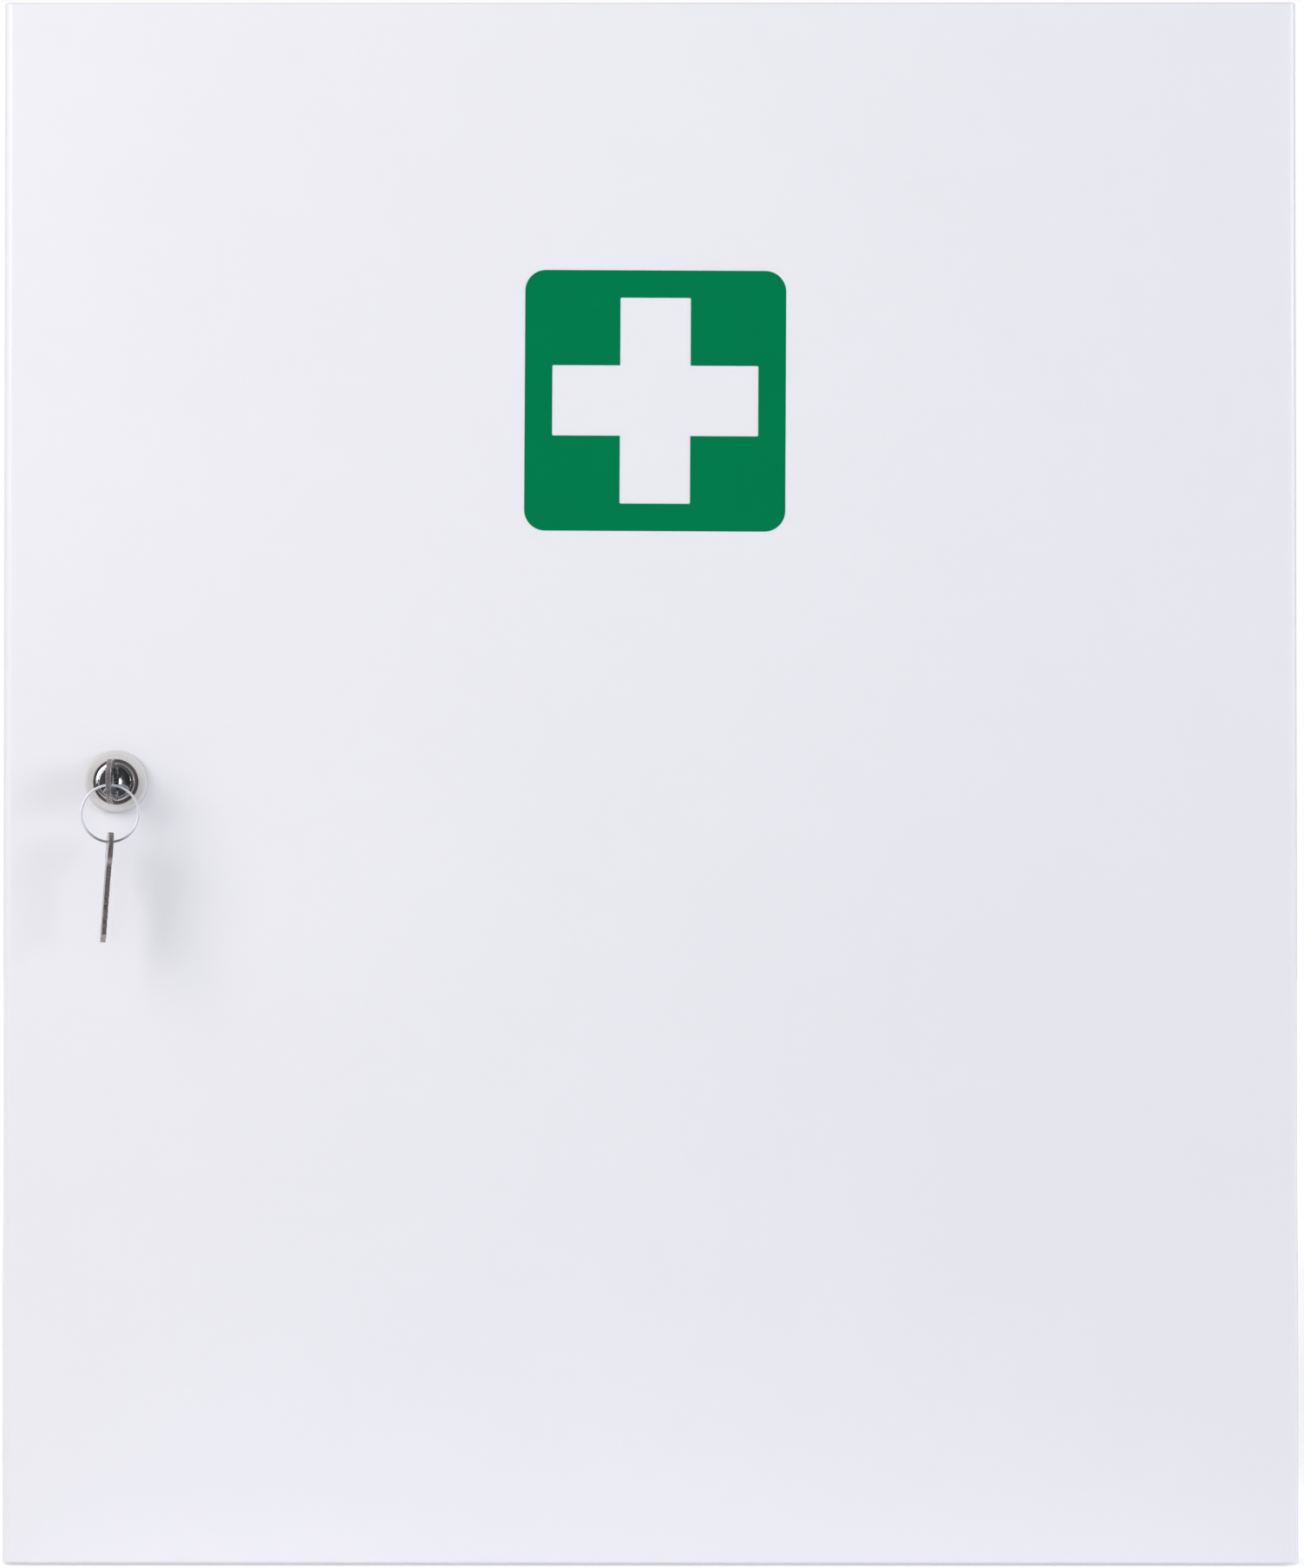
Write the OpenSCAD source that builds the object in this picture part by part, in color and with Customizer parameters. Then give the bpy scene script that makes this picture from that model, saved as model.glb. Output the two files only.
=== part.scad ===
// Lockable medicine cabinet for a wall: a folded steel case with three loose shelves, shut by
// a tray door on two concealed pins and held by a quarter-turn cam lock with its keys.
// X runs to the right, Y into the wall and Z up. The origin is the centre of the four wall
// fixings, on the rear face. Sizes are in millimetres.

/* [Case] */
// Outer width of the case
case_w = 500; // [460:1:600]
// Outer height of the case
case_h = 600; // [560:1:760]
// Depth of the case, from the wall to its front frame
case_d = 180; // [150:1:240]
// Thickness of the case's sheet
sheet = 1; // [0.8:0.1:1.4]
// Outside radius of the case's bends
bend_r = 2; // [1.6:0.1:2.4]
// Width of the frame round the front opening
frame_w = 22; // [20:1:30]
// Depth of the return that stiffens the frame's inner edge
frame_return = 8; // [6:0.5:12]
// Width of the rear flange that carries the rear panel
rear_flange = 14; // [10:1:20]

/* [Rear panel] */
// Thickness of the rear panel
panel_t = 1; // [0.8:0.1:1.5]
// How far the rear panel's edges lie inside the case's outline
panel_inset = 1; // [0.5:0.1:2]
// Distance between the wall fixings across the case
fixing_x = 400; // [300:10:410]
// Distance between the wall fixings up the case
fixing_z = 480; // [360:10:510]
// Diameter of each wall fixing hole
fixing_d = 8; // [6:0.5:10]

/* [Shelves] */
// Distance between two shelves, a whole number of slot pitches
shelf_pitch = 150; // [125:25:150]
// Thickness of a shelf's sheet
shelf_t = 1; // [0.8:0.1:1.5]
// Height of a shelf's front and rear lips
shelf_lip = 16; // [14:1:22]
// Width of the hem that turns in under a shelf's front lip
shelf_hem = 7; // [4:1:9]
// Outside radius of a shelf's bends
shelf_bend_r = 2; // [1.8:0.1:3]
// Distance from the front frame to a shelf's front edge
shelf_setback = 22; // [18:1:30]
// Gap between a shelf and what stands beside and behind it
shelf_gap = 2; // [1:0.5:4]

/* [Shelf supports] */
// Width of a slotted upright
upright_w = 16; // [14:1:20]
// How far an upright stands off the side wall
upright_d = 5.5; // [5:0.1:7]
// Thickness of an upright's sheet
upright_t = 1; // [0.8:0.1:1.2]
// Distance from a shelf's front and rear edges to the nearest upright
upright_inset = 10; // [8:1:24]
// Gap between an upright's ends and the case's top and bottom
upright_end_gap = 22; // [16:1:30]
// Distance between an upright's slots
slot_pitch = 25; // [25:25:50]
// Height of a slot
slot_h = 8; // [7:0.5:10]
// Width of a slot
slot_w = 5; // [4:0.5:7]
// Gap round the hook of a shelf clip in its slot
slot_gap = 0.3; // [0.2:0.1:0.6]
// Thickness of a shelf clip's sheet
clip_t = 1.5; // [1.2:0.1:1.8]
// Width of a shelf clip's ledge
clip_w = 11; // [8:1:14]
// How far a shelf clip reaches out from its upright
clip_reach = 12; // [9:1:16]
// Height of a shelf clip, from its ledge down
clip_drop = 11; // [8:1:13]
// Height of the hook behind a shelf clip
hook_drop = 5; // [4:0.5:6]

/* [Door] */
// Step from the case's side to the door's side
door_step_x = 2; // [1:0.5:4]
// Step from the case's top to the door's top
door_step_z = 1; // [1:0.5:4]
// Depth of the door's tray
door_t = 18; // [17:0.5:22]
// Thickness of the door's sheet
door_sheet = 1; // [0.8:0.1:1.4]
// Width of the lip that turns in round the door's rear edge
door_lip = 10; // [8:0.5:13]
// Gap between the shut door and the case's front frame
door_gap = 2; // [1.8:0.1:2.6]
// Outside radius of the bends down the door's two sides
door_side_r = 4.1; // [2.2:0.1:4.4]
// Outside radius of the bends along the door's top and bottom
door_rim_r = 1.6; // [1.5:0.1:2]

/* [Door stiffener] */
// Width of the raised middle of the door's stiffener
stiffener_w = 36; // [20:1:80]
// Width of each of the stiffener's two feet
stiffener_foot = 14; // [8:1:24]
// Depth of the stiffener
stiffener_d = 12; // [8:0.5:14]
// Thickness of the stiffener's sheet
stiffener_t = 0.8; // [0.6:0.1:1.2]
// Gap between the stiffener's ends and the door's top and bottom
stiffener_end_gap = 14; // [12:1:40]

/* [Hinge] */
// Distance from the door's side to the hinge's axis
hinge_inset = 5.5; // [5.5:0.1:6]
// Distance from the door's rear edge to the hinge's axis
hinge_depth = 9; // [9:0.1:9.4]
// Diameter of a hinge pin
pin_d = 4; // [3:0.5:4]
// Clearance all round a pin in its bush
pin_clearance = 0.05; // [0.03:0.01:0.1]
// Height of a pin's head
pin_head_t = 1; // [0.8:0.1:1.4]
// Extra radius of a pin's head
pin_head_rim = 1; // [0.6:0.1:1.3]
// Wall of a bush
bush_wall = 1; // [0.8:0.1:1.4]
// Thickness of a bush's flange
bush_flange_t = 1; // [0.8:0.1:1.4]
// Width of a bush's flange
bush_flange_rim = 1.4; // [1:0.1:1.8]
// Gap between a bush and the bracket's ear
bush_gap = 0.2; // [0.1:0.05:0.3]
// Thickness of a hinge bracket
bracket_t = 2.5; // [2:0.1:3]
// Width of a hinge bracket's ear
ear_w = 7; // [6.4:0.1:7.4]
// Width of a hinge bracket's foot
bracket_foot_w = 15; // [12:0.5:16]
// Height of a hinge bracket's foot
bracket_foot_h = 30; // [20:1:60]
// Gap round an ear in the slots that it passes through
ear_gap = 0.8; // [0.5:0.1:1]

/* [Door buffers] */
// Diameter of a rubber buffer
buffer_d = 9; // [6:0.5:12]
// Gap left between a buffer and the shut door
buffer_gap = 0.3; // [0.2:0.1:0.5]
// Distance from the case's side, top or bottom to a buffer's centre
buffer_inset = 10; // [8:0.5:11]
// Height of the side buffers above and below the middle
buffer_rise = 190; // [120:5:220]

/* [Label] */
// Side of the square first-aid label
label_side = 100; // [60:1:160]
// Corner radius of the label
label_r = 8; // [2:0.5:14]
// Overall length of the cross cut out of the label
cross_l = 79; // [40:1:90]
// Width of the cross's arms
cross_w = 27; // [12:1:34]
// Corner radius at the ends of the cross's arms
cross_r = 0.5; // [0.2:0.1:1.5]
// Thickness of the label's film
label_t = 0.15; // [0.1:0.05:0.3]
// Distance of the label's centre from the door's centre, to the right
label_x = 2; // [-60:1:60]
// Height of the label's centre above the door's centre
label_z = 145.8; // [100:0.1:190]
// Tilt of the label as it was stuck on, in degrees
label_tilt = 0.3; // [-2:0.1:2]

/* [Lock] */
// Distance from the door's left edge to the lock's axis
lock_inset = 43.9; // [40:0.1:48]
// Height of the lock's axis above the door's centre
lock_z = -0.3; // [-20:0.1:20]
// Diameter of the lock's trim ring
trim_d = 23.8; // [23.5:0.1:28]
// Bore of the trim ring
trim_bore = 17.2; // [16.8:0.1:18]
// Height of the trim ring off the door
trim_t = 3.2; // [2.8:0.1:4]
// Diameter of the housing's flange
housing_flange_d = 20.5; // [19:0.1:21]
// Thickness of the housing's flange
housing_flange_t = 1; // [0.8:0.1:1.4]
// Diameter of the housing's polished neck
neck_d = 14.6; // [14.2:0.1:15.8]
// How far the neck stands out from the door
neck_l = 6; // [4.2:0.1:7]
// Diameter of the housing's threaded barrel
barrel_d = 16; // [15.5:0.1:17]
// Distance across the two flats of the barrel
barrel_flats = 14.4; // [14:0.1:15]
// Gap round the barrel in the door's hole
barrel_gap = 0.15; // [0.1:0.05:0.3]
// Diameter of the plug
plug_d = 12.4; // [11.6:0.1:12.8]
// Clearance all round the plug in the housing
plug_clearance = 0.05; // [0.03:0.01:0.1]
// Radius of the plug's domed face
dome_r = 42; // [36:1:80]
// Distance across the flats of the hexagonal nut
nut_af = 22; // [20:1:24]
// Thickness of the nut
nut_t = 3.2; // [2:0.2:5]
// Diameter of the washer under the nut
washer_d = 22; // [20:0.5:26]
// Thickness of the washer under the nut
washer_t = 0.8; // [0.5:0.1:1.2]

/* [Cam] */
// Length of the cam from the lock's axis to its tip
cam_l = 36; // [34:0.5:38]
// Width of the cam
cam_w = 16; // [14:0.5:17]
// Thickness of the cam
cam_t = 2; // [1.5:0.1:2.5]
// Thickness of the strike plate behind the frame
strike_t = 1; // [0.8:0.1:1.5]
// Width of the strike plate
strike_w = 17; // [12:0.5:18]
// Gap between the locked cam and the strike plate
cam_gap = 0.5; // [0.3:0.1:0.8]
// Gap between the cam and the end of the housing
cam_play = 0.2; // [0.1:0.05:0.3]
// Gap round the cam as it swings through the frame's return
cam_slot_gap = 3; // [2:0.5:5]
// Side of the plug's square shank
shank_w = 7; // [6:0.1:7.5]
// Gap round the shank in the cam
shank_gap = 0.05; // [0.03:0.01:0.1]
// Diameter of the cam screw
screw_d = 4; // [3:0.5:4.5]
// Diameter of the cam screw's head
screw_head_d = 7; // [6.5:0.5:9]
// Height of the cam screw's head
screw_head_t = 2.4; // [2:0.1:3]
// Diameter of the washer under the cam screw
cam_washer_d = 12; // [11:0.5:14]
// Thickness of the washer under the cam screw
cam_washer_t = 1; // [0.6:0.1:1.4]

/* [Wafer tumblers] */
// Number of wafer tumblers
wafer_count = 5; // [3:1:5]
// Distance between two tumblers
wafer_pitch = 2.8; // [2.2:0.1:3]
// Thickness of a tumbler
wafer_t = 0.9; // [0.6:0.1:1.2]
// Width of a tumbler
wafer_w = 6; // [5.6:0.1:6.2]
// Height of a tumbler
wafer_h = 10.4; // [10:0.1:10.6]
// Clearance round a tumbler in the plug
wafer_gap = 0.1; // [0.05:0.05:0.2]
// Depth of the first tumbler behind the plug's rim
wafer_start = 8; // [6:0.5:9]

/* [Keys] */
// Thickness of a key
key_t = 2; // [1.6:0.1:2.2]
// Width of a key's bow
bow_w = 16.9; // [15:0.1:22]
// Length of a key's bow
bow_l = 13; // [12:0.5:20]
// Corner radius of the bow
bow_r = 5.5; // [3:0.1:7]
// Width of the shoulder that stops against the plug
shoulder_w = 9.6; // [9:0.1:11]
// Length of the shoulder
shoulder_l = 4; // [3.5:0.1:8]
// Width of a key's blade
blade_w = 7.8; // [7:0.1:8]
// Length of the blade's tapered tip
blade_tip = 3; // [2:0.5:4]
// Width of the blade at its very end
blade_tip_w = 2; // [1:0.5:4]
// Distance from the bow's end to the hole's centre
key_hole_inset = 5; // [3.6:0.1:6]
// Diameter of the hole for the ring
key_hole_d = 4.2; // [3.6:0.1:5]
// Clearance round the blade in its keyway
keyway_gap = 0.15; // [0.1:0.05:0.3]
// Gap between the key's shoulder and the plug
key_stop_gap = 0.1; // [0.05:0.05:0.3]
// Solid left in the plug behind the keyway
plug_end_wall = 4; // [2.5:0.1:5]
// Depth of the deepest cut in a blade
cut_depth = 1.8; // [1:0.1:2]
// Width of the milled groove in each side of a blade
groove_w = 1.4; // [1:0.1:2]
// Depth of the milled groove
groove_d = 0.4; // [0.2:0.05:0.5]
// How far the spare key leans off plumb, in degrees
spare_lean = 4; // [0:0.5:4]
// How far the spare key is twisted about its length, in degrees
spare_twist = 11; // [0:1:14]

/* [Key ring] */
// Outer diameter of the key ring
ring_d = 22.4; // [20:0.1:30]
// Thickness of the ring's wire
wire_d = 0.9; // [0.8:0.1:1.4]
// Gap between the ring's wire and the edge of a key's hole
ring_gap = 0.25; // [0.2:0.05:0.35]

/* [Hidden] */
$fn = 64;

steel_white = "#e9eaef";
label_green = "#01794c";
zinc = "#c9ccd2";
chrome = "#dfe2e8";
trim_satin = "#d9d8d6";
rubber = "#3c3d40";
nylon = "#f0efe8";
key_metal = "#b9b4ab";

// Overshoot of a cutting solid past the face that it cuts
over = 1;
// Clearance of a pressed or riveted fit, all round
fit = 0.02;

// The case, from the wall forward
y_panel = -panel_t;
y_flange = y_panel - sheet;
y_frame = -case_d;
opening_w = case_w - 2 * frame_w;
opening_h = case_h - 2 * frame_w;

// The door's tray, from the frame forward
door_w = case_w - 2 * door_step_x;
door_h = case_h - 2 * door_step_z;
y_door_rear = y_frame - door_gap;
y_door_face = y_door_rear - door_t;
y_door_inner = y_door_face + door_sheet;
z_door_inner = door_h / 2 - door_sheet;

// The shelves and their uprights
x_wall = case_w / 2 - sheet;
x_upright = x_wall - upright_d;
shelf_w = 2 * (x_upright - shelf_gap);
y_shelf_front = y_frame + shelf_setback;
y_shelf_rear = y_flange - shelf_gap;
upright_h = case_h - 2 * sheet - 2 * upright_end_gap;
y_uprights = [
    y_shelf_front + upright_inset + upright_w / 2,
    y_shelf_rear - upright_inset - upright_w / 2,
];
shelf_levels = [-shelf_pitch, 0, shelf_pitch];
hook_w = slot_w - 2 * slot_gap;

// The hinge's axis, and its stack from the door's flange inward
x_hinge = door_w / 2 - hinge_inset;
y_hinge = y_door_rear - hinge_depth;
z_ear = z_door_inner - bush_flange_t - bush_gap;
bush_d = pin_d + 2 * pin_clearance + 2 * bush_wall;
y_bracket_foot = y_frame + sheet;
slot_in_frame_w = ear_w + 2 * ear_gap;
notch_w = hinge_inset + ear_w / 2 + ear_gap;
notch_d = hinge_depth + ear_w / 2 + 3 * ear_gap;
notch_h = bush_flange_t + bush_gap + bracket_t + ear_gap;

// The lock, from its face to its cam
x_lock = lock_inset - door_w / 2;
y_neck = y_door_face - neck_l;
dome_sink = dome_r - sqrt(dome_r * dome_r - plug_d * plug_d / 4);
y_plug_face = y_neck - dome_sink;
y_cam = y_frame + sheet + strike_t + cam_gap;
y_barrel_end = y_cam - cam_play;
y_shank_end = y_cam + cam_t - cam_play;
y_cam_washer = y_cam + cam_t;
y_screw_head = y_cam_washer + cam_washer_t;
y_keyway_end = y_barrel_end - plug_end_wall;
keyway_w = key_t + 2 * keyway_gap;
keyway_h = blade_w + 2 * keyway_gap;
cam_reach = cam_l + cam_slot_gap;

// The keys and their ring
blade_l = y_keyway_end - keyway_gap - y_plug_face;
y_key = y_plug_face - key_stop_gap;
grip_l = shoulder_l + bow_l;
hole_l = grip_l - key_hole_inset;
ring_r = (ring_d - wire_d) / 2;
hole_offset = key_hole_d / 2 - wire_d / 2 - ring_gap;
y_ring = y_key - hole_l;
z_ring_top = lock_z - hole_offset;
z_ring_bottom = z_ring_top - 2 * ring_r;
// Depth of each cut along one edge of a blade, as a share of the deepest
cut_shares = [0.6, 1, 0.35, 0.8, 0.5];

// Extrudes an outline drawn in X and Z from y0 back to y1
module along_y(y0, y1) {
    translate([0, y1, 0]) rotate([90, 0, 0]) linear_extrude(y1 - y0) children();
}

// Extrudes an outline drawn in Y and Z along X, half of length each way
module along_x(length) {
    rotate([90, 0, 90]) linear_extrude(length, center = true) children();
}

// A box from its lowest to its highest corner
module span(low, high) {
    translate(low) cube(high - low);
}

// A rectangle about the origin with round corners
module rounded_rect(w, h, r) {
    square([w - 2 * r, h], center = true);
    square([w, h - 2 * r], center = true);
    for (x = [-1, 1], y = [-1, 1])
        translate([x * (w / 2 - r), y * (h / 2 - r)]) circle(r);
}

// A cylinder along Y from y0 back to y1
module rod_y(d, y0, y1) {
    translate([0, y1, 0]) rotate([90, 0, 0]) cylinder(d = d, h = y1 - y0);
}

// Moves what follows to the lock's axis
module at_lock() {
    translate([x_lock, 0, lock_z]) children();
}

// A closed block with round front edges: side_r down its sides and rim_r along top and bottom
module round_block(w, h, y0, y1, side_r, rim_r) {
    depth = y1 - y0;
    intersection() {
        linear_extrude(h, center = true) union() {
            translate([-w / 2, y0 + side_r]) square([w, depth - side_r]);
            translate([-w / 2 + side_r, y0]) square([w - 2 * side_r, depth]);
            for (x = [-1, 1])
                translate([x * (w / 2 - side_r), y0 + side_r]) circle(side_r);
        }
        along_x(w + 2 * over) union() {
            translate([y0 + rim_r, -h / 2]) square([depth - rim_r, h]);
            translate([y0, -h / 2 + rim_r]) square([depth, h - 2 * rim_r]);
            for (z = [-1, 1])
                translate([y0 + rim_r, z * (h / 2 - rim_r)]) circle(rim_r);
        }
    }
}

// ---- Case ----

// The wrapped sides, the front frame with its returns, and the rear flange
module case_shell() color(steel_white) {
    inner_r = bend_r - sheet;
    difference() {
        round_block(case_w, case_h, y_frame, y_panel, bend_r, bend_r);
        // The space behind the frame
        along_y(y_frame + sheet, y_flange)
            rounded_rect(case_w - 2 * sheet, case_h - 2 * sheet, inner_r);
        // The front opening
        along_y(y_frame - over, y_frame + sheet + over)
            square([opening_w, opening_h], center = true);
        // The rear opening
        along_y(y_flange - over, y_panel + over)
            square([case_w - 2 * rear_flange, case_h - 2 * rear_flange], center = true);
        // The slots for the hinge brackets' ears
        for (side = [-1, 1])
            hinge_slot(side);
    }
    frame_returns();
}

// The returns round the opening, cut away where the cam swings through
module frame_returns() {
    difference() {
        along_y(y_frame + sheet, y_frame + frame_return) difference() {
            square([opening_w + 2 * sheet, opening_h + 2 * sheet], center = true);
            square([opening_w, opening_h], center = true);
        }
        span(
            [-opening_w / 2 - sheet - over, y_frame + sheet, lock_z - cam_reach],
            [-opening_w / 2 + over, y_frame + frame_return + over, lock_z + cam_w / 2 + cam_slot_gap]
        );
    }
}

// The cut in the frame for one ear; side is 1 at the top and -1 at the bottom
module hinge_slot(side) {
    scale_z(side) span(
        [x_hinge - slot_in_frame_w / 2, y_frame - over, z_ear - bracket_t - ear_gap],
        [x_hinge + slot_in_frame_w / 2, y_frame + sheet + over, z_ear + ear_gap]
    );
}

// Mirrors what follows to the bottom when side is -1
module scale_z(side) {
    if (side < 0) mirror([0, 0, 1]) children();
    else children();
}

// The flat rear panel with its four wall fixing holes
module rear_panel() color(steel_white) {
    along_y(y_panel, 0) difference() {
        square([case_w - 2 * panel_inset, case_h - 2 * panel_inset], center = true);
        for (x = [-1, 1], z = [-1, 1])
            translate([x * fixing_x / 2, z * fixing_z / 2]) circle(d = fixing_d);
    }
}

// ---- Shelves ----

// One shelf: a tray with a hemmed front lip and a plain rear lip, its top face at z
module shelf(z) color(steel_white) {
    inner_r = shelf_bend_r - shelf_t;
    depth = y_shelf_rear - y_shelf_front;
    translate([0, y_shelf_front, z]) along_x(shelf_w) difference() {
        shelf_outline(depth, shelf_lip, shelf_bend_r);
        translate([shelf_t, -shelf_t]) shelf_outline(depth - 2 * shelf_t, shelf_lip - 2 * shelf_t, inner_r);
        // The open underside, between the hem and the rear lip
        translate([shelf_hem, -shelf_lip - over])
            square([depth - shelf_hem - shelf_t, shelf_lip - shelf_t - inner_r]);
    }
}

// A shelf's section, from its front top corner back and down
module shelf_outline(depth, height, r) {
    translate([depth / 2, -height / 2]) rounded_rect(depth, height, r);
}

// The four slotted uprights on the side walls
module shelf_uprights() color(zinc) {
    for (side = [-1, 1], y = y_uprights)
        mirror_x(side) translate([0, y, 0]) upright();
}

// Mirrors what follows to the left when side is -1
module mirror_x(side) {
    if (side < 0) mirror([1, 0, 0]) children();
    else children();
}

// One upright on the right-hand wall, a channel with a row of slots in its face
module upright() {
    reach = floor((upright_h / 2 - slot_h) / slot_pitch);
    difference() {
        span([x_upright, -upright_w / 2, -upright_h / 2], [x_wall, upright_w / 2, upright_h / 2]);
        span(
            [x_upright + upright_t, -upright_w / 2 + upright_t, -upright_h / 2 - over],
            [x_wall + over, upright_w / 2 - upright_t, upright_h / 2 + over]
        );
        for (step = [-reach:reach])
            upright_slot(step * slot_pitch - shelf_t + slot_gap);
    }
}

// One slot of an upright, with its top edge at z
module upright_slot(z) {
    span([x_upright - over, -slot_w / 2, z - slot_h], [x_upright + upright_t + over, slot_w / 2, z]);
}

// Four clips under each shelf, hooked into the uprights
module shelf_clips() color(zinc) {
    for (side = [-1, 1], y = y_uprights, z = shelf_levels)
        mirror_x(side) translate([0, y, z - shelf_t]) shelf_clip();
}

// One clip: a ledge, the plate that bears on the upright, and the hook through the slot
module shelf_clip() {
    x_hook = x_upright + upright_t + slot_gap;
    span([x_upright - clip_reach, -clip_w / 2, -clip_t], [x_upright, clip_w / 2, 0]);
    span([x_upright - clip_t, -clip_w / 2, -clip_drop], [x_upright, clip_w / 2, -clip_t]);
    span([x_upright, -hook_w / 2, -clip_t], [x_hook + clip_t, hook_w / 2, 0]);
    span([x_hook, -hook_w / 2, -hook_drop], [x_hook + clip_t, hook_w / 2, -clip_t]);
}

// ---- Fittings on the case ----

// The plate behind the frame that the cam locks against
module lock_strike() color(zinc) {
    x_edge = -opening_w / 2 - sheet;
    span(
        [x_edge - strike_w, y_frame + sheet, lock_z - cam_reach],
        [x_edge, y_frame + sheet + strike_t, lock_z + cam_w / 2 + cam_slot_gap]
    );
}

// The rubber buffers that the shut door meets
module door_buffers() color(rubber) {
    x_side = buffer_inset - case_w / 2;
    z_rim = case_h / 2 - buffer_inset;
    places = [[x_side, buffer_rise], [x_side, -buffer_rise], [0, z_rim], [0, -z_rim]];
    for (place = places)
        translate([place[0], 0, place[1]])
            rod_y(buffer_d, y_door_rear + buffer_gap, y_frame);
}

// ---- Hinge ----

// One bracket: a foot behind the frame and an ear that carries the pin
module hinge_bracket(side) color(zinc) {
    scale_z(side) difference() {
        union() {
            span(
                [x_hinge - bracket_foot_w / 2, y_bracket_foot, z_ear - bracket_foot_h],
                [x_hinge + min(bracket_foot_w / 2, x_wall - x_hinge - fit), y_bracket_foot + bracket_t, z_ear]
            );
            span(
                [x_hinge - ear_w / 2, y_hinge, z_ear - bracket_t],
                [x_hinge + ear_w / 2, y_bracket_foot, z_ear]
            );
            translate([x_hinge, y_hinge, z_ear - bracket_t]) cylinder(d = ear_w, h = bracket_t);
        }
        translate([x_hinge, y_hinge, z_ear - bracket_t - over])
            cylinder(d = pin_d + 2 * fit, h = bracket_t + 2 * over);
    }
}

// One pin, riveted into the ear and turning in the door's bush
module hinge_pin(side) color(chrome) {
    scale_z(side) translate([x_hinge, y_hinge, 0]) {
        translate([0, 0, z_ear - bracket_t]) cylinder(d = pin_d, h = door_h / 2 - z_ear + bracket_t);
        translate([0, 0, z_ear - bracket_t - pin_head_t])
            cylinder(d = pin_d + 2 * pin_head_rim, h = pin_head_t);
    }
}

// One flanged bush, pressed into the door's top or bottom
module hinge_bush(side) color(nylon) {
    z_flange = z_door_inner - bush_flange_t;
    scale_z(side) translate([x_hinge, y_hinge, 0]) difference() {
        union() {
            translate([0, 0, z_flange]) cylinder(d = bush_d, h = door_h / 2 - z_flange);
            translate([0, 0, z_flange]) cylinder(d = bush_d + 2 * bush_flange_rim, h = bush_flange_t);
        }
        translate([0, 0, z_flange - over])
            cylinder(d = pin_d + 2 * pin_clearance, h = door_h / 2 - z_flange + 2 * over);
    }
}

// ---- Door ----

// The folded tray, with its rear lips, hinge notches and lock hole
module door_panel() color(steel_white) {
    difference() {
        round_block(door_w, door_h, y_door_face, y_door_rear, door_side_r, door_rim_r);
        round_block(
            door_w - 2 * door_sheet, door_h - 2 * door_sheet, y_door_inner, y_door_rear - door_sheet,
            door_side_r - door_sheet, door_rim_r - door_sheet
        );
        // The opening inside the rear lips
        along_y(y_door_rear - door_sheet - over, y_door_rear + over)
            square([door_w - 2 * door_lip, door_h - 2 * door_lip], center = true);
        for (side = [-1, 1])
            hinge_notch(side);
        for (side = [-1, 1])
            scale_z(side) translate([x_hinge, y_hinge, z_door_inner - over])
                cylinder(d = bush_d + 2 * fit, h = door_sheet + 2 * over);
        lock_hole();
    }
}

// The cut in the door's side and lip that lets an ear swing out
module hinge_notch(side) {
    scale_z(side) span(
        [door_w / 2 - notch_w, y_door_rear - notch_d, z_door_inner - notch_h],
        [door_w / 2 + over, y_door_rear + over, z_door_inner]
    );
}

// The hole for the lock's barrel, with the barrel's two flats
module lock_hole() {
    at_lock() along_y(y_door_face - over, y_door_inner + over) intersection() {
        circle(d = barrel_d + 2 * barrel_gap);
        square([barrel_d + 2 * over, barrel_flats + 2 * barrel_gap], center = true);
    }
}

// The hat-shaped stiffener welded inside the door's front
module door_stiffener() color(steel_white) {
    crown = stiffener_w / 2;
    brim = crown + stiffener_foot;
    t = stiffener_t;
    translate([0, y_door_inner, 0])
        linear_extrude(2 * (z_door_inner - stiffener_end_gap), center = true)
            polygon([
                [-brim, 0], [-crown + t, 0], [-crown + t, stiffener_d - t],
                [crown - t, stiffener_d - t], [crown - t, 0], [brim, 0], [brim, t],
                [crown, t], [crown, stiffener_d], [-crown, stiffener_d], [-crown, t], [-brim, t],
            ]);
}

// The green film with a cross cut out of it
module first_aid_label() color(label_green) {
    translate([label_x, 0, label_z]) rotate([0, label_tilt, 0])
        along_y(y_door_face - label_t, y_door_face) difference() {
            rounded_rect(label_side, label_side, label_r);
            rounded_rect(cross_l, cross_w, cross_r);
            rounded_rect(cross_w, cross_l, cross_r);
        }
}

// ---- Lock ----

// The trim ring round the lock's neck, with a rounded outside and a recess for the flange
module lock_trim_ring() color(trim_satin) {
    outer = trim_d / 2;
    bore = trim_bore / 2;
    recess = housing_flange_d / 2 + fit;
    at_lock() translate([0, y_door_face, 0]) rotate([90, 0, 0]) rotate_extrude() difference() {
        union() {
            square([outer - trim_t, trim_t]);
            translate([outer - trim_t, 0]) intersection() {
                circle(trim_t);
                square(trim_t);
            }
        }
        translate([-over, -over]) square([bore + over, trim_t + 2 * over]);
        translate([-over, -over]) square([recess + over, housing_flange_t + over]);
    }
}

// The housing: a flange on the door's face, a polished neck and a barrel with two flats
module lock_housing() color(chrome) {
    at_lock() difference() {
        union() {
            rod_y(neck_d, y_neck, y_door_face);
            rod_y(housing_flange_d, y_door_face - housing_flange_t, y_door_face);
            along_y(y_door_face, y_barrel_end) intersection() {
                circle(d = barrel_d);
                square([barrel_d + 2 * over, barrel_flats], center = true);
            }
        }
        rod_y(plug_d + 2 * plug_clearance, y_neck - over, y_barrel_end + over);
    }
}

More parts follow.
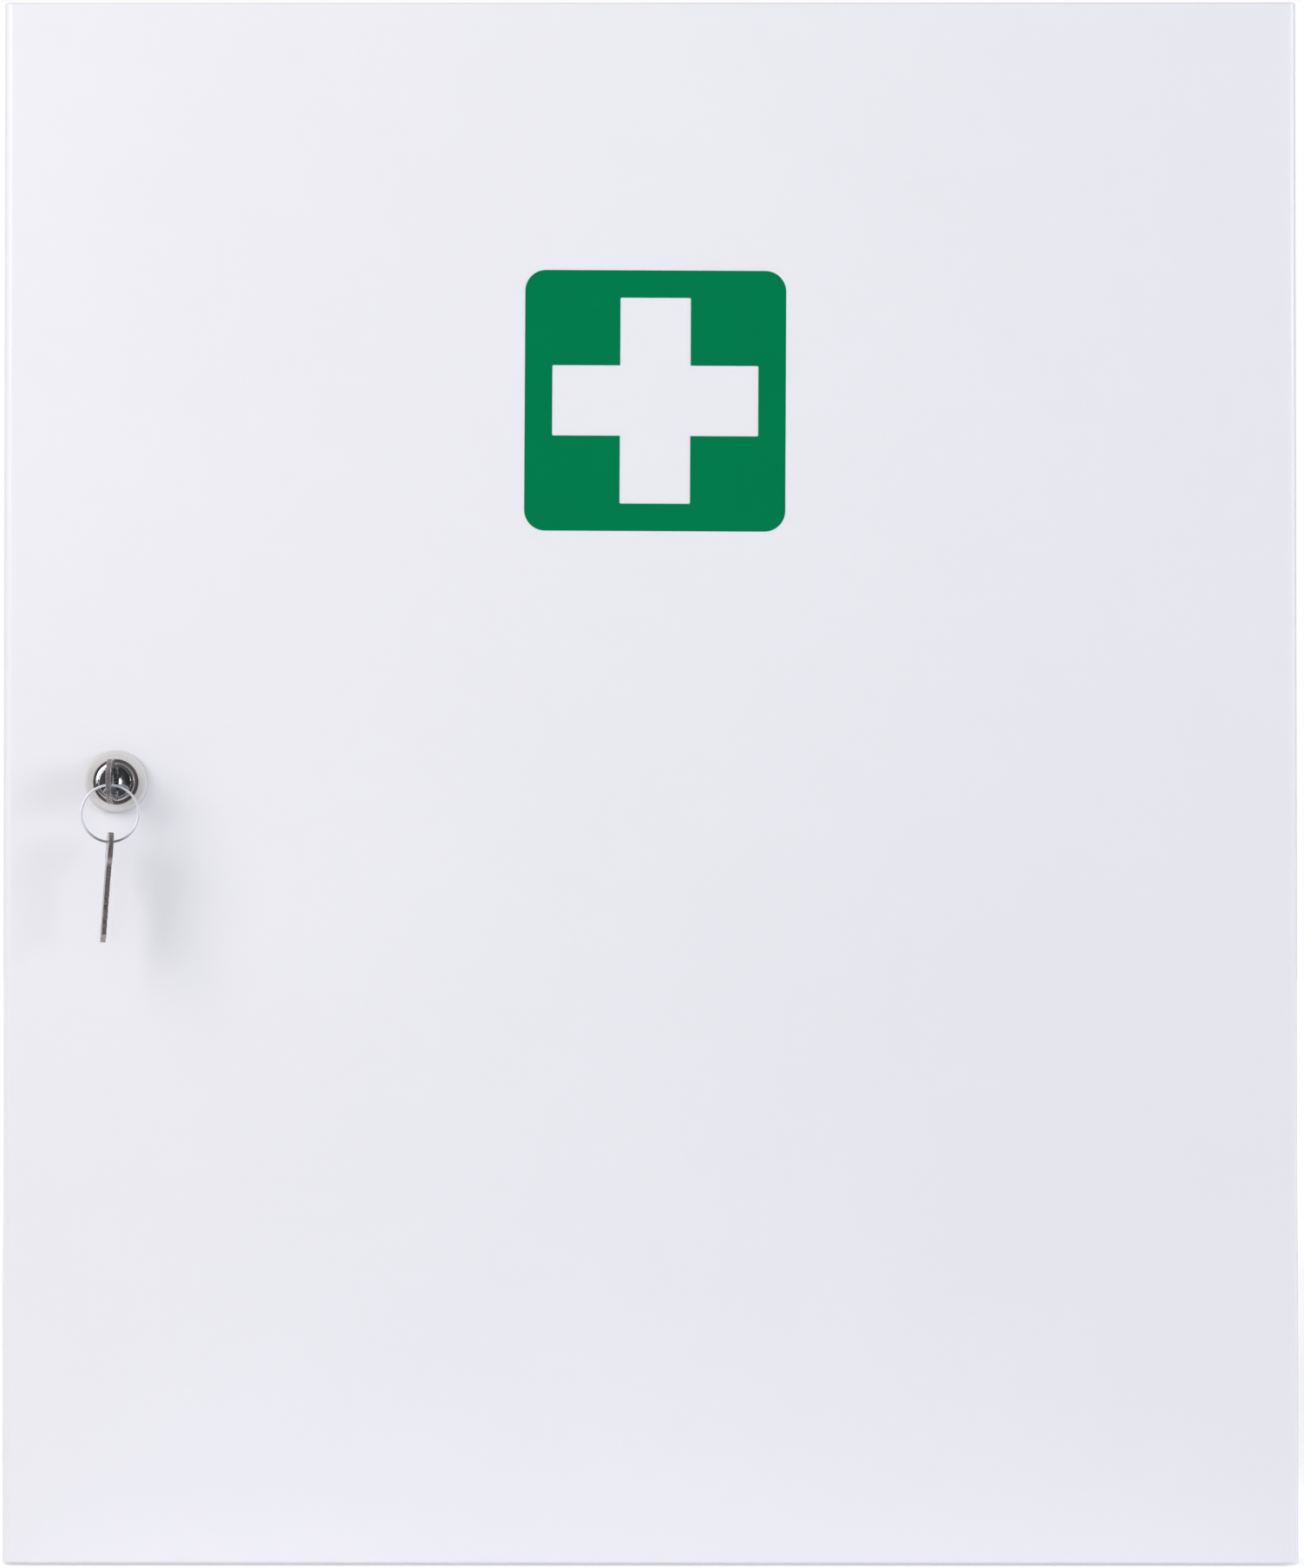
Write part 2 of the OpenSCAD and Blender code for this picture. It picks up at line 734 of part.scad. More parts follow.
// The plain washer under the nut
module lock_washer() color(zinc) {
    at_lock() difference() {
        rod_y(washer_d, y_door_inner, y_door_inner + washer_t);
        rod_y(barrel_d + 2 * barrel_gap, y_door_inner - over, y_door_inner + washer_t + over);
    }
}

// The hexagonal nut that clamps the housing to the door
module lock_nut() color(zinc) {
    y_nut = y_door_inner + washer_t;
    at_lock() along_y(y_nut, y_nut + nut_t) difference() {
        circle(r = nut_af / sqrt(3), $fn = 6);
        circle(d = barrel_d + 2 * fit);
    }
}

// The plug: a domed face, the keyway, the tumblers' slots and a square shank for the cam
module lock_plug() color(chrome) {
    at_lock() difference() {
        union() {
            intersection() {
                rod_y(plug_d, y_plug_face - over, y_barrel_end);
                translate([0, y_plug_face + dome_r, 0]) sphere(dome_r);
            }
            along_y(y_barrel_end, y_shank_end) square(shank_w, center = true);
        }
        along_y(y_plug_face - over, y_keyway_end) square([keyway_w, keyway_h], center = true);
        for (i = [0:wafer_count - 1])
            wafer_pocket(i);
        rod_y(screw_d + 2 * fit, y_barrel_end - plug_end_wall / 2, y_shank_end + over);
    }
}

// The slot through the plug for tumbler number i
module wafer_pocket(i) {
    y = wafer_y(i);
    along_y(y - wafer_gap, y + wafer_t + wafer_gap)
        square([wafer_w + 2 * wafer_gap, plug_d + 2 * over], center = true);
}

// The front face of tumbler number i
function wafer_y(i) = y_neck + wafer_start + i * wafer_pitch;

// The row of wafer tumblers, each with a window that the blade passes through
module wafer_tumblers() color(key_metal) {
    at_lock() for (i = [0:wafer_count - 1])
        along_y(wafer_y(i), wafer_y(i) + wafer_t) difference() {
            square([wafer_w, wafer_h], center = true);
            square([keyway_w, keyway_h], center = true);
        }
}

// The flat cam, hanging down when unlocked
module lock_cam() color(zinc) {
    at_lock() along_y(y_cam, y_cam + cam_t) difference() {
        union() {
            circle(d = cam_w);
            translate([-cam_w / 2, -cam_l]) square([cam_w, cam_l]);
        }
        square(shank_w + 2 * shank_gap, center = true);
    }
}

// The washer that keeps the cam on its shank
module cam_washer() color(zinc) {
    at_lock() difference() {
        rod_y(cam_washer_d, y_cam_washer, y_screw_head);
        rod_y(screw_d + 2 * fit, y_cam_washer - over, y_screw_head + over);
    }
}

// The screw in the end of the plug, with a slotted head
module cam_screw() color(zinc) {
    slot = screw_head_t / 2;
    at_lock() difference() {
        union() {
            rod_y(screw_head_d, y_screw_head, y_screw_head + screw_head_t);
            rod_y(screw_d, y_barrel_end - plug_end_wall / 2, y_screw_head);
        }
        span(
            [-screw_head_d / 2 - over, y_screw_head + slot, -slot / 2],
            [screw_head_d / 2 + over, y_screw_head + screw_head_t + over, slot / 2]
        );
    }
}

// ---- Keys ----

// A key's outline, drawn with its shoulder's stop on the axis: the bow below, the blade above
module key_outline() {
    difference() {
        union() {
            translate([0, -grip_l + bow_l / 2]) rounded_rect(bow_w, bow_l, bow_r);
            translate([-shoulder_w / 2, -grip_l + bow_l / 2]) square([shoulder_w, grip_l - bow_l / 2]);
            blade_outline();
        }
        translate([0, -hole_l]) circle(d = key_hole_d);
        for (i = [0:len(cut_shares) - 1], edge = [-1, 1])
            key_cut(i, edge);
    }
}

// The blade with its tapered tip
module blade_outline() {
    half = blade_w / 2;
    end = blade_tip_w / 2;
    polygon([
        [-half, -over], [half, -over], [half, blade_l - blade_tip],
        [end, blade_l], [-end, blade_l], [-half, blade_l - blade_tip],
    ]);
}

// One V-shaped cut, mirrored on the blade's two edges; the far edge takes the cuts in reverse
module key_cut(i, edge) {
    order = edge > 0 ? i : len(cut_shares) - 1 - i;
    depth = cut_depth * cut_shares[order];
    y = wafer_start + dome_sink + i * wafer_pitch;
    translate([edge * blade_w / 2, y]) polygon([
        [edge * over, -depth / 2 - over], [-edge * depth, -wafer_t / 4],
        [-edge * depth, wafer_t / 4], [edge * over, depth / 2 + over],
    ]);
}

// One key standing on its blade's axis, its milled grooves in both sides
module key_body() color(key_metal) {
    difference() {
        linear_extrude(key_t, center = true) key_outline();
        for (side = [-1, 1])
            translate([-groove_w / 2, -shoulder_l / 2, side * key_t / 2 - groove_d])
                cube([groove_w, blade_l + shoulder_l, 2 * groove_d]);
    }
}

// The key in the lock, with its blade pointing into the plug and its bow upright
module key() {
    translate([x_lock, y_key, lock_z]) rotate([0, 90, 0]) key_body();
}

// The ring of wire that holds the two keys
module key_ring() color(chrome) {
    translate([x_lock, y_ring, z_ring_top - ring_r]) rotate([90, 0, 0])
        rotate_extrude() translate([ring_r, 0]) circle(d = wire_d);
}

// The spare key, hanging from the bottom of the ring with its blade down
module spare_key() {
    translate([x_lock, y_ring, z_ring_bottom]) rotate([0, spare_lean, spare_twist])
        translate([0, 0, -hole_offset]) rotate([-90, 0, 0]) rotate([0, 90, 0])
            translate([0, hole_l, 0]) key_body();
}

case_shell();
rear_panel();
shelf(shelf_levels[2]);  // shelf_upper
shelf(shelf_levels[1]);  // shelf_middle
shelf(shelf_levels[0]);  // shelf_lower
shelf_uprights();
shelf_clips();
lock_strike();
door_buffers();
hinge_bracket(1);  // hinge_bracket_top
hinge_bracket(-1);  // hinge_bracket_bottom
hinge_pin(1);  // hinge_pin_top
hinge_pin(-1);  // hinge_pin_bottom
hinge_bush(1);  // hinge_bush_top
hinge_bush(-1);  // hinge_bush_bottom
door_panel();
door_stiffener();
first_aid_label();
lock_trim_ring();
lock_housing();
lock_washer();
lock_nut();
lock_plug();
wafer_tumblers();
lock_cam();
cam_washer();
cam_screw();
key();
key_ring();
spare_key();
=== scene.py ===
from math import atan2, cos, hypot, pi, radians, sin, tan, tau

import bmesh
import bpy
from bpy.props import FloatProperty, FloatVectorProperty, IntProperty, PointerProperty
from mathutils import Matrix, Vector


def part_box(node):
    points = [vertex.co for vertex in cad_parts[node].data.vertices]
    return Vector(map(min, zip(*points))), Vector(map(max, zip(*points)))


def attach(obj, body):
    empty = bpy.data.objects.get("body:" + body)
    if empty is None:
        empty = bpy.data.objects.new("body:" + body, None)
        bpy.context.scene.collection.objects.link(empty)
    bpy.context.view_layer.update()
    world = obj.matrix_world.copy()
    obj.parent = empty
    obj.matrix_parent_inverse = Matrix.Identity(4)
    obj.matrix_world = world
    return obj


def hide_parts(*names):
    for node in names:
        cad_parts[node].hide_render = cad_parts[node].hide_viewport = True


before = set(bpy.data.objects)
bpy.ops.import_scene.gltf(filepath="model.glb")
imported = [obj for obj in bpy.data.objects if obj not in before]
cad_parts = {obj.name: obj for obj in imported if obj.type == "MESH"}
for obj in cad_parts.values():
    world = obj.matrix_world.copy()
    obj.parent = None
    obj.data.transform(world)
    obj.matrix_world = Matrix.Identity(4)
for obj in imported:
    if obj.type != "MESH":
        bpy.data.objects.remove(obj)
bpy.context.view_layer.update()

bl_info = {
    "name": "Lockable medicine cabinet",
    "version": (1, 0, 0),
    "blender": (4, 5, 0),
    "location": "3D View > Sidebar > Cabinet",
    "description": "Dresses a steel wall cabinet: painted sheet, fittings, label, cam lock and keys",
    "category": "Object",
}

MM = 0.001

# Corners of the solids that the pieces below are built to, and the lock's axis, in metres
PLUG_LOW, PLUG_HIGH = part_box("lock_plug")
TRIM_LOW, TRIM_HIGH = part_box("lock_trim_ring")
HOUSING_LOW, HOUSING_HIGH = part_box("lock_housing")
DOOR_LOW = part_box("door_panel")[0]
STIFFENER_LOW, STIFFENER_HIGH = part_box("door_stiffener")
RING_LOW, RING_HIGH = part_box("key_ring")
LOCK = (TRIM_LOW + TRIM_HIGH) / 2


def linear(code):
    """The scene-linear colour of a six-digit hexadecimal one."""
    parts = [int(code[i : i + 2], 16) / 255 for i in (0, 2, 4)]
    return tuple(c / 12.92 if c <= 0.04045 else ((c + 0.055) / 1.055) ** 2.4 for c in parts)


def colour(name, description, code):
    """A colour property whose default is given as hexadecimal digits."""
    return FloatVectorProperty(
        name=name,
        description=description,
        subtype="COLOR",
        size=3,
        min=0,
        max=1,
        default=linear(code),
    )


def length(name, description, millimetres, low=0.0, high=1000.0):
    """A length property in metres, given here in millimetres."""
    return FloatProperty(
        name=name,
        description=description,
        subtype="DISTANCE",
        unit="LENGTH",
        precision=5,
        default=millimetres * MM,
        min=low * MM,
        max=high * MM,
    )


def share(name, description, default):
    """A property from 0 to 1."""
    return FloatProperty(
        name=name, description=description, subtype="FACTOR", default=default, min=0, max=1
    )


def power(name, description, watts):
    """The power of a lamp."""
    return FloatProperty(
        name=name, description=description, subtype="POWER", unit="POWER", default=watts, min=0
    )


# ---- Settings ----


class FinishSettings(bpy.types.PropertyGroup):
    """Colours and surface textures of the cabinet's finishes."""

    coat: colour("Coat", "Powder coat on the case, shelves and door", "ebeaf0")
    coat_gloss: share("Coat gloss", "Smoothness of the powder coat", 0.62)
    peel_depth: length("Peel depth", "Depth of the powder coat's orange peel", 0.012, 0, 0.1)
    peel_width: length("Peel width", "Width of the powder coat's orange peel", 1.8, 0.3, 6)
    label: colour("Label", "Printed film of the label", "00794b")
    zinc: colour("Zinc", "Zinc plate on the fittings", "c9ccd2")
    chrome: colour("Chrome", "Chrome plate on the lock and the ring", "dfe2e8")
    trim: colour("Trim", "Satin ring round the lock", "d1cfcf")
    # The casting's darker, brownish colour is partly painted shade of the gap round the lock's neck
    casting: colour("Casting", "Dull casting below the lock's polished rim", "b6a8a8")
    key: colour("Key", "Nickel on the flats of the keys", "c4c5c9")
    cut: colour("Cut", "Milled edges of the keys", "aaa4a3")
    tarnish: colour("Tarnish", "Worn nickel in the keys' cuts and grooves", "86787a")
    rubber: colour("Rubber", "Moulded buffers", "3c3d40")
    nylon: colour("Nylon", "Moulded hinge bushes", "f0efe8")


class SheetSettings(bpy.types.PropertyGroup):
    """Sizes of the folded sheet's worked edges."""

    edge: length("Sheet edge", "Radius of a cut edge under its paint", 0.3, 0.05, 0.45)
    fitting_edge: length("Fitting edge", "Radius of a plated fitting's edges", 0.25, 0.05, 0.4)
    film_edge: length("Film edge", "Radius of the label's cut edge", 0.05, 0.01, 0.07)
    weld_d: length("Weld diameter", "Diameter of a spot weld", 5, 3, 8)
    weld_h: length("Weld height", "Height of the rim round a spot weld", 0.15, 0.05, 0.4)
    weld_count: IntProperty(
        name="Welds",
        description="Spot welds down each foot of the stiffener",
        default=7,
        min=2,
        max=16,
    )
    rivet_d: length("Rivet diameter", "Diameter of a hinge rivet's head", 5.6, 4, 7)
    rivet_h: length("Rivet height", "Height of a hinge rivet's head", 0.9, 0.4, 1.2)


class LockSettings(bpy.types.PropertyGroup):
    """Sizes of the lock, the keys and their ring."""

    thread_pitch: length("Thread pitch", "Distance between the barrel's threads", 1, 0.5, 1.5)
    thread_depth: length("Thread depth", "Depth of the barrel's threads", 0.5, 0.1, 0.6)
    plug_edge: length("Plug edge", "Radius of the keyway's edges", 0.12, 0.02, 0.2)
    key_edge: length("Key edge", "Radius of a key's tumbled edges", 0.22, 0.05, 0.35)
    wire_w: length("Wire width", "Width of the ring's flattened wire", 0.9, 0.5, 0.9)
    coil_gap: length("Coil gap", "Gap between the ring's two coils", 0.03, 0.01, 0.1)


class StageSettings(bpy.types.PropertyGroup):
    """The floor, the lamps and the camera."""

    floor: colour("Floor", "Plain pale floor", "f4f4f4")
    lift: share("Lift", "Glow that brings the floor up to white where no shadow falls", 0.5)
    fill: share("Fill", "Level of the soft light from either side", 0.25)
    front_fill: share("Front fill", "Level of the soft light straight ahead of the door", 0.905)
    mirrored: share("Mirrored", "Level of the room's sides in gloss", 0.8)
    key_power: power("Key lamp", "Power of the large lamp at the left", 24.5)
    cool_power: power("Cool lamp", "Power of the far lamp at the right", 35)
    side_power: power("Side lamp", "Power of the weaker lamp at the right", 24)
    distance: length("Camera distance", "From the door's face to the camera", 1500, 600, 4000)
    lens: FloatProperty(
        name="Lens",
        description="Focal length of the camera",
        subtype="DISTANCE_CAMERA",
        unit="CAMERA",
        default=90,
        min=30,
        max=300,
    )


# ---- Finishes ----


class Tree:
    """A node tree, built one node at a time."""

    def __init__(self, tree):
        self.tree = tree

    def feed(self, target, value):
        """Sets an input to a value, or links it to a socket."""
        if isinstance(value, bpy.types.NodeSocket):
            self.tree.links.new(value, target)
        else:
            target.default_value = value

    def node(self, kind, **inputs):
        """A new node of that kind, with its inputs set or linked."""
        made = self.tree.nodes.new("ShaderNode" + kind)
        for socket, value in inputs.items():
            self.feed(made.inputs[socket.replace("_", " ")], value)
        return made

    def math(self, operation, first, second):
        """The result of an operation on two numbers or sockets."""
        made = self.node("Math")
        made.operation = operation
        self.feed(made.inputs[0], first)
        self.feed(made.inputs[1], second)
        return made.outputs[0]

    def spread(self, value, low, high, start=0.3, end=0.7):
        """Value, mapped from start..end onto low..high and held there."""
        return self.node(
            "MapRange", Value=value, From_Min=start, From_Max=end, To_Min=low, To_Max=high
        ).outputs[0]

    def blend(self, factor, first, second):
        """A blend of two numbers."""
        made = self.node("Mix")
        for index, value in ((0, factor), (2, first), (3, second)):
            self.feed(made.inputs[index], value)
        return made.outputs[0]

    def mix(self, factor, first, second):
        """A blend of two colours."""
        made = self.node("Mix")
        made.data_type = "RGBA"
        self.feed(made.inputs[0], factor)
        for index, value in ((6, first), (7, second)):
            is_socket = isinstance(value, bpy.types.NodeSocket)
            self.feed(made.inputs[index], value if is_socket else (*value[:3], 1))
        return made.outputs[2]


class Finish(Tree):
    """A material in object coordinates, whose shader is the principled one."""

    def __init__(self, name, base, roughness, metallic=0.0):
        self.material = bpy.data.materials.new(name)
        self.material.use_nodes = True
        self.material.diffuse_color = (*base, 1)
        super().__init__(self.material.node_tree)
        self.shader = self.tree.nodes["Principled BSDF"]
        self.place = self.node("TexCoord").outputs["Object"]
        self.set("Base Color", (*base, 1))
        self.set("Roughness", roughness)
        self.set("Metallic", metallic)

    def set(self, socket, value):
        """Sets one of the shader's sockets to a value, or links it."""
        self.feed(self.shader.inputs[socket], value)

    def noise(self, width, detail=2.0, stretch=(1, 1, 1), roughness=0.5):
        """Noise with grains about width across, longer along an axis where stretch is small."""
        scaled = self.node("Mapping", Vector=self.place, Scale=stretch).outputs[0]
        return self.node(
            "TexNoise", Vector=scaled, Scale=1 / width, Detail=detail, Roughness=roughness
        ).outputs["Fac"]

    def bump(self, height, depth, below=None):
        """Adds a height that is depth tall to the shader's normal, over the bump below it."""
        made = self.node("Bump", Height=height, Distance=depth, Strength=1.0)
        if below:
            self.feed(made.inputs["Normal"], below)
        self.set("Normal", made.outputs[0])
        return made.outputs[0]


def tinted(base, gain, shift=(0, 0, 0)):
    """A colour made lighter or darker by gain, with a small shift."""
    return tuple(min(1.0, max(0.0, c * gain + s)) for c, s in zip(base, shift))


def powder_coat(settings):
    """Semi-gloss powder coat with orange peel, faint cloudiness and slow waves of the sheet."""
    base, gloss = settings.coat, settings.coat_gloss
    made = Finish("powder_coat", base, 1 - gloss)
    clouds = made.noise(0.16, detail=3)
    made.set("Base Color", made.mix(clouds, tinted(base, 0.985), tinted(base, 1.012)))
    made.set("Roughness", made.spread(made.noise(0.05), 0.94 - gloss, 1.05 - gloss))
    waves = made.bump(made.noise(0.22, detail=1), 0.25 * MM)
    peel = made.noise(settings.peel_width, detail=2.5, roughness=0.55)
    made.bump(peel, settings.peel_depth, waves)
    return made.material


def label_film(settings):
    """Printed vinyl with a faint grain in its ink and slow ripples from its application."""
    base = settings.label
    made = Finish("label_green", base, 0.4)
    made.set("Specular IOR Level", 0.015)
    clouds = made.noise(0.035, detail=4)
    made.set("Base Color", made.mix(clouds, tinted(base, 0.94), tinted(base, 1.06)))
    made.set("Roughness", made.spread(made.noise(0.004, detail=3), 0.36, 0.46))
    ripples = made.bump(made.noise(0.03, detail=1), 0.02 * MM)
    made.bump(made.noise(0.0012), 0.004 * MM, ripples)
    return made.material


def zinc_plate(settings):
    """Bright zinc with bluish and yellow passivation and the rolled sheet's fine lines."""
    base = settings.zinc
    made = Finish("zinc_plate", base, 0.38, metallic=1.0)
    patches = made.noise(0.012, detail=4, roughness=0.6)
    cool, warm = tinted(base, 0.86, (-0.01, 0, 0.015)), tinted(base, 0.98, (0.02, 0.012, -0.02))
    made.set("Base Color", made.mix(made.spread(patches, 0, 1, 0.35, 0.65), cool, warm))
    lines = made.noise(0.0009, detail=3, stretch=(1, 1, 0.06))
    made.set("Roughness", made.spread(lines, 0.3, 0.46))
    made.bump(lines, 0.003 * MM)
    return made.material


def chrome_plate(settings):
    """Polished chrome with hairline scratches and a faint haze."""
    base = settings.chrome
    made = Finish("chrome_plate", base, 0.09, metallic=1.0)
    haze = made.noise(0.0025, detail=3)
    made.set("Base Color", made.mix(haze, tinted(base, 0.93), tinted(base, 1.0)))
    scratches = made.noise(0.0004, detail=4, stretch=(1, 1, 0.15), roughness=0.65)
    made.set("Roughness", made.spread(scratches, 0.05, 0.13))
    made.bump(haze, 0.0006 * MM)
    return made.material


def trim_satin(settings):
    """Satin lacquer over blasted metal."""
    base = settings.trim
    made = Finish("trim_satin", base, 0.6)
    made.set("Specular IOR Level", 0.2)
    grain = made.noise(0.00022, detail=2)
    clouds = made.noise(0.004, detail=3)
    made.set("Base Color", made.mix(clouds, tinted(base, 0.96), tinted(base, 1.03)))
    made.set("Roughness", made.spread(grain, 0.54, 0.68))
    made.bump(grain, 0.002 * MM)
    return made.material


def casting_with_painted_shade(settings):
    """Unpolished die casting below the lock's polished rim: dull, with a darker brownish tone that
    is painted shade of the gap round the neck.
    """
    base = settings.casting
    made = Finish("casting_with_painted_shade", base, 0.55, metallic=0.3)
    grain = made.noise(0.0006, detail=4, roughness=0.6)
    made.set("Base Color", made.mix(grain, tinted(base, 0.75), tinted(base, 1.2)))
    made.set("Roughness", made.spread(grain, 0.48, 0.66))
    made.bump(grain, 0.006 * MM)
    return made.material


def spring_wire(settings):
    """Satin nickel on drawn spring wire, with painted shade darkening it towards its lowest part."""
    base = settings.chrome
    tone = (0.012, 0, 0.02)
    shaded_share = 0.275
    made = Finish("spring_wire", base, 0.35, metallic=0.4)
    haze = made.noise(0.0018, detail=3)
    unshaded_wire = made.mix(haze, tinted(base, 1.04, tone), tinted(base, 1.12, tone))
    # Painted shade: the wire's colour darkens towards the bottom of the ring, standing in for the
    # dark surroundings it reflects there
    height = made.node("SeparateXYZ", Vector=made.place).outputs["Z"]
    shaded_top = RING_LOW.z + shaded_share * (RING_HIGH.z - RING_LOW.z)
    low_shade = made.spread(height, 1, 0, RING_LOW.z, shaded_top)
    made.set("Base Color", made.mix(low_shade, unshaded_wire, tinted(base, 0.32)))
    made.set("Roughness", made.spread(haze, 0.33, 0.45))
    made.bump(haze, 0.001 * MM)
    return made.material


def key_metal(settings):
    """Rolled and polished nickel on a key's flats, scuffed in use."""
    base = settings.key
    made = Finish("key_metal", base, 0.16, metallic=1.0)
    scuffs = made.noise(0.0012, detail=5, roughness=0.65)
    worn = made.spread(scuffs, 0, 1, 0.4, 0.75)
    made.set("Base Color", made.mix(worn, tinted(base, 0.97), tinted(base, 0.72)))
    made.set("Roughness", made.spread(scuffs, 0.12, 0.3))
    made.bump(made.noise(0.0004, detail=3, stretch=(1, 1, 0.3)), 0.001 * MM)
    return made.material


def key_cut(settings):
    """A key's sawn and milled edges: darker, with the cutter's lines and tarnish in them."""
    base = settings.cut
    made = Finish("key_cut", base, 0.4, metallic=0.82)
    stains = made.spread(made.noise(0.0006, detail=4, roughness=0.6), 0, 1, 0.36, 0.66)
    made.set("Base Color", made.mix(stains, base, settings.tarnish))
    lines = made.noise(0.00045, detail=3, stretch=(0.5, 1, 1.4))
    made.set("Roughness", made.spread(lines, 0.34, 0.58))
    made.bump(lines, 0.03 * MM)
    return made.material


def rubber_black(settings):
    """Moulded rubber with a dusty bloom."""
    base = settings.rubber
    made = Finish("rubber_black", base, 0.78)
    bloom = made.spread(made.noise(0.002, detail=4), 0, 1)
    dusty = tinted(base, 1.35, (0.004, 0.004, 0.004))
    made.set("Base Color", made.mix(bloom, tinted(base, 0.8), dusty))
    made.set("Roughness", made.spread(bloom, 0.68, 0.88, 0, 1))
    made.bump(made.noise(0.0004, detail=3), 0.012 * MM)
    return made.material


def nylon_white(settings):
    """Moulded nylon, slightly translucent, with a fine mould texture."""
    base = settings.nylon
    made = Finish("nylon_white", base, 0.46)
    made.set("Subsurface Weight", 0.12)
    made.set("Subsurface Scale", 1.0 * MM)
    made.set("Base Color", made.mix(made.noise(0.003, detail=3), tinted(base, 0.96), base))
    made.set("Roughness", made.spread(made.noise(0.001), 0.4, 0.55))
    made.bump(made.noise(0.0005, detail=2), 0.006 * MM)
    return made.material


FINISHES = {
    "powder_coat": powder_coat,
    "label_green": label_film,
    "zinc_plate": zinc_plate,
    "chrome_plate": chrome_plate,
    "trim_satin": trim_satin,
    "key_metal": key_metal,
    "key_cut": key_cut,
    "casting_with_painted_shade": casting_with_painted_shade,
    "spring_wire": spring_wire,
    "rubber_black": rubber_black,
    "nylon_white": nylon_white,
}


def finish(name):
    """The finish of that name, made the first time it is asked for."""
    stored = f"cabinet.{name}"
    if stored not in bpy.data.materials:
        made = FINISHES[name](bpy.context.scene.cabinet_finish)
        made.name = stored
    return bpy.data.materials[stored]


# ---- Meshes ----

# Vertices closer than MERGE are one, faces that bend less than FLAT are one face, and edges that
# bend more than SHARP are rolled round
MERGE = 0.0001 * MM
FLAT = radians(0.4)
SHARP = radians(35)


def piece(name, shape, slot, body, nodes, others=()):
    """Turns a bmesh into a smooth piece with its finish, riding on body and standing for nodes.
    Others are the finishes of faces whose material index is 1 and up."""
    if not shape.faces:
        raise RuntimeError(f"{name} came out empty")
    bmesh.ops.recalc_face_normals(shape, faces=shape.faces)
    for face in shape.faces:
        face.smooth = True
    mesh = bpy.data.meshes.new(name)
    shape.to_mesh(mesh)
    shape.free()
    made = bpy.data.objects.new(name, mesh)
    bpy.context.scene.collection.objects.link(made)
    for coating in (slot, *others):
        mesh.materials.append(finish(coating))
    normals = made.modifiers.new("Flat faces stay flat", "WEIGHTED_NORMAL")
    normals.mode = "FACE_AREA"
    normals.weight = 100
    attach(made, body)
    if nodes:
        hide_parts(*nodes)
    return made


def solid_of(node):
    """A node's solid as a bmesh with whole faces in place of triangles."""
    shape = bmesh.new()
    shape.from_mesh(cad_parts[node].data)
    bmesh.ops.remove_doubles(shape, verts=shape.verts, dist=MERGE)
    bmesh.ops.dissolve_limit(shape, angle_limit=FLAT, verts=shape.verts, edges=shape.edges)
    return shape


def roll_edges(shape, radius, rounds=2):
    """Rounds every sharp edge of a solid by radius."""
    sharp = [edge for edge in shape.edges if edge.is_manifold and edge.calc_face_angle() > SHARP]
    bmesh.ops.bevel(
        shape,
        geom=sharp,
        offset=radius,
        offset_type="OFFSET",
        segments=rounds,
        profile=0.5,
        affect="EDGES",
        clamp_overlap=False,
    )


def dress(name, node, slot, body, radius, rounds=2):
    """A piece that repeats a node's solid with its sharp edges worked round."""
    shape = solid_of(node)
    roll_edges(shape, radius, rounds)
    return piece(name, shape, slot, body, [node])


def circle(shape, centre, radius, y, count):
    """A ring of new vertices about a centre, in a plane across Y."""
    turns = [tau * i / count for i in range(count)]
    return [
        shape.verts.new((centre.x + radius * cos(turn), y, centre.z + radius * sin(turn)))
        for turn in turns
    ]


def bridge(shape, near, far, closed=True):
    """Faces between two rows of as many vertices, and from their ends to their starts if closed."""
    count = len(near)
    for k in range(count if closed else count - 1):
        after = (k + 1) % count
        shape.faces.new((near[k], near[after], far[after], far[k]))


def revolve(section, centre, steps=96, bend=None, closed=True):
    """A solid turned about Y: section holds (radius, y) points in order round its outline.
    It isn't closed where it starts and ends on the axis."""
    shape = bmesh.new()
    rings = []
    for step in range(steps):
        angle = tau * step / steps
        ring = []
        for radius, y in section:
            x, z = radius * cos(angle), radius * sin(angle)
            if bend:
                x, z = bend(x, z, y)
            ring.append(shape.verts.new((centre.x + x, y, centre.z + z)))
        rings.append(ring)
    for step in range(steps):
        bridge(shape, rings[step], rings[(step + 1) % steps], closed)
    bmesh.ops.remove_doubles(shape, verts=shape.verts, dist=MERGE)
    return shape


def block(low, high):
    """A box between two corners, as a cutter."""
    shape = bmesh.new()
    bmesh.ops.create_cube(shape, size=1)
    low, high = Vector(low), Vector(high)
    for vert in shape.verts:
        vert.co = (low + high) / 2 + Vector(c * s for c, s in zip(vert.co, high - low))
    return shape


def combine(shape, other, operation):
    """The shape joined with another or cut by it; both are used up."""
    objects = []
    for part in (shape, other):
        bmesh.ops.recalc_face_normals(part, faces=part.faces)
        mesh = bpy.data.meshes.new("part")
        part.to_mesh(mesh)
        part.free()
        objects.append(bpy.data.objects.new("part", mesh))
        bpy.context.scene.collection.objects.link(objects[-1])
    change = objects[0].modifiers.new("change", "BOOLEAN")
    change.operation, change.solver, change.object = operation, "EXACT", objects[1]
    evaluated = objects[0].evaluated_get(bpy.context.evaluated_depsgraph_get())
    result = bpy.data.meshes.new_from_object(evaluated)
    made = bmesh.new()
    made.from_mesh(result)
    bpy.data.meshes.remove(result)
    for used in objects:
        mesh = used.data
        bpy.data.objects.remove(used)
        bpy.data.meshes.remove(mesh)
    return made


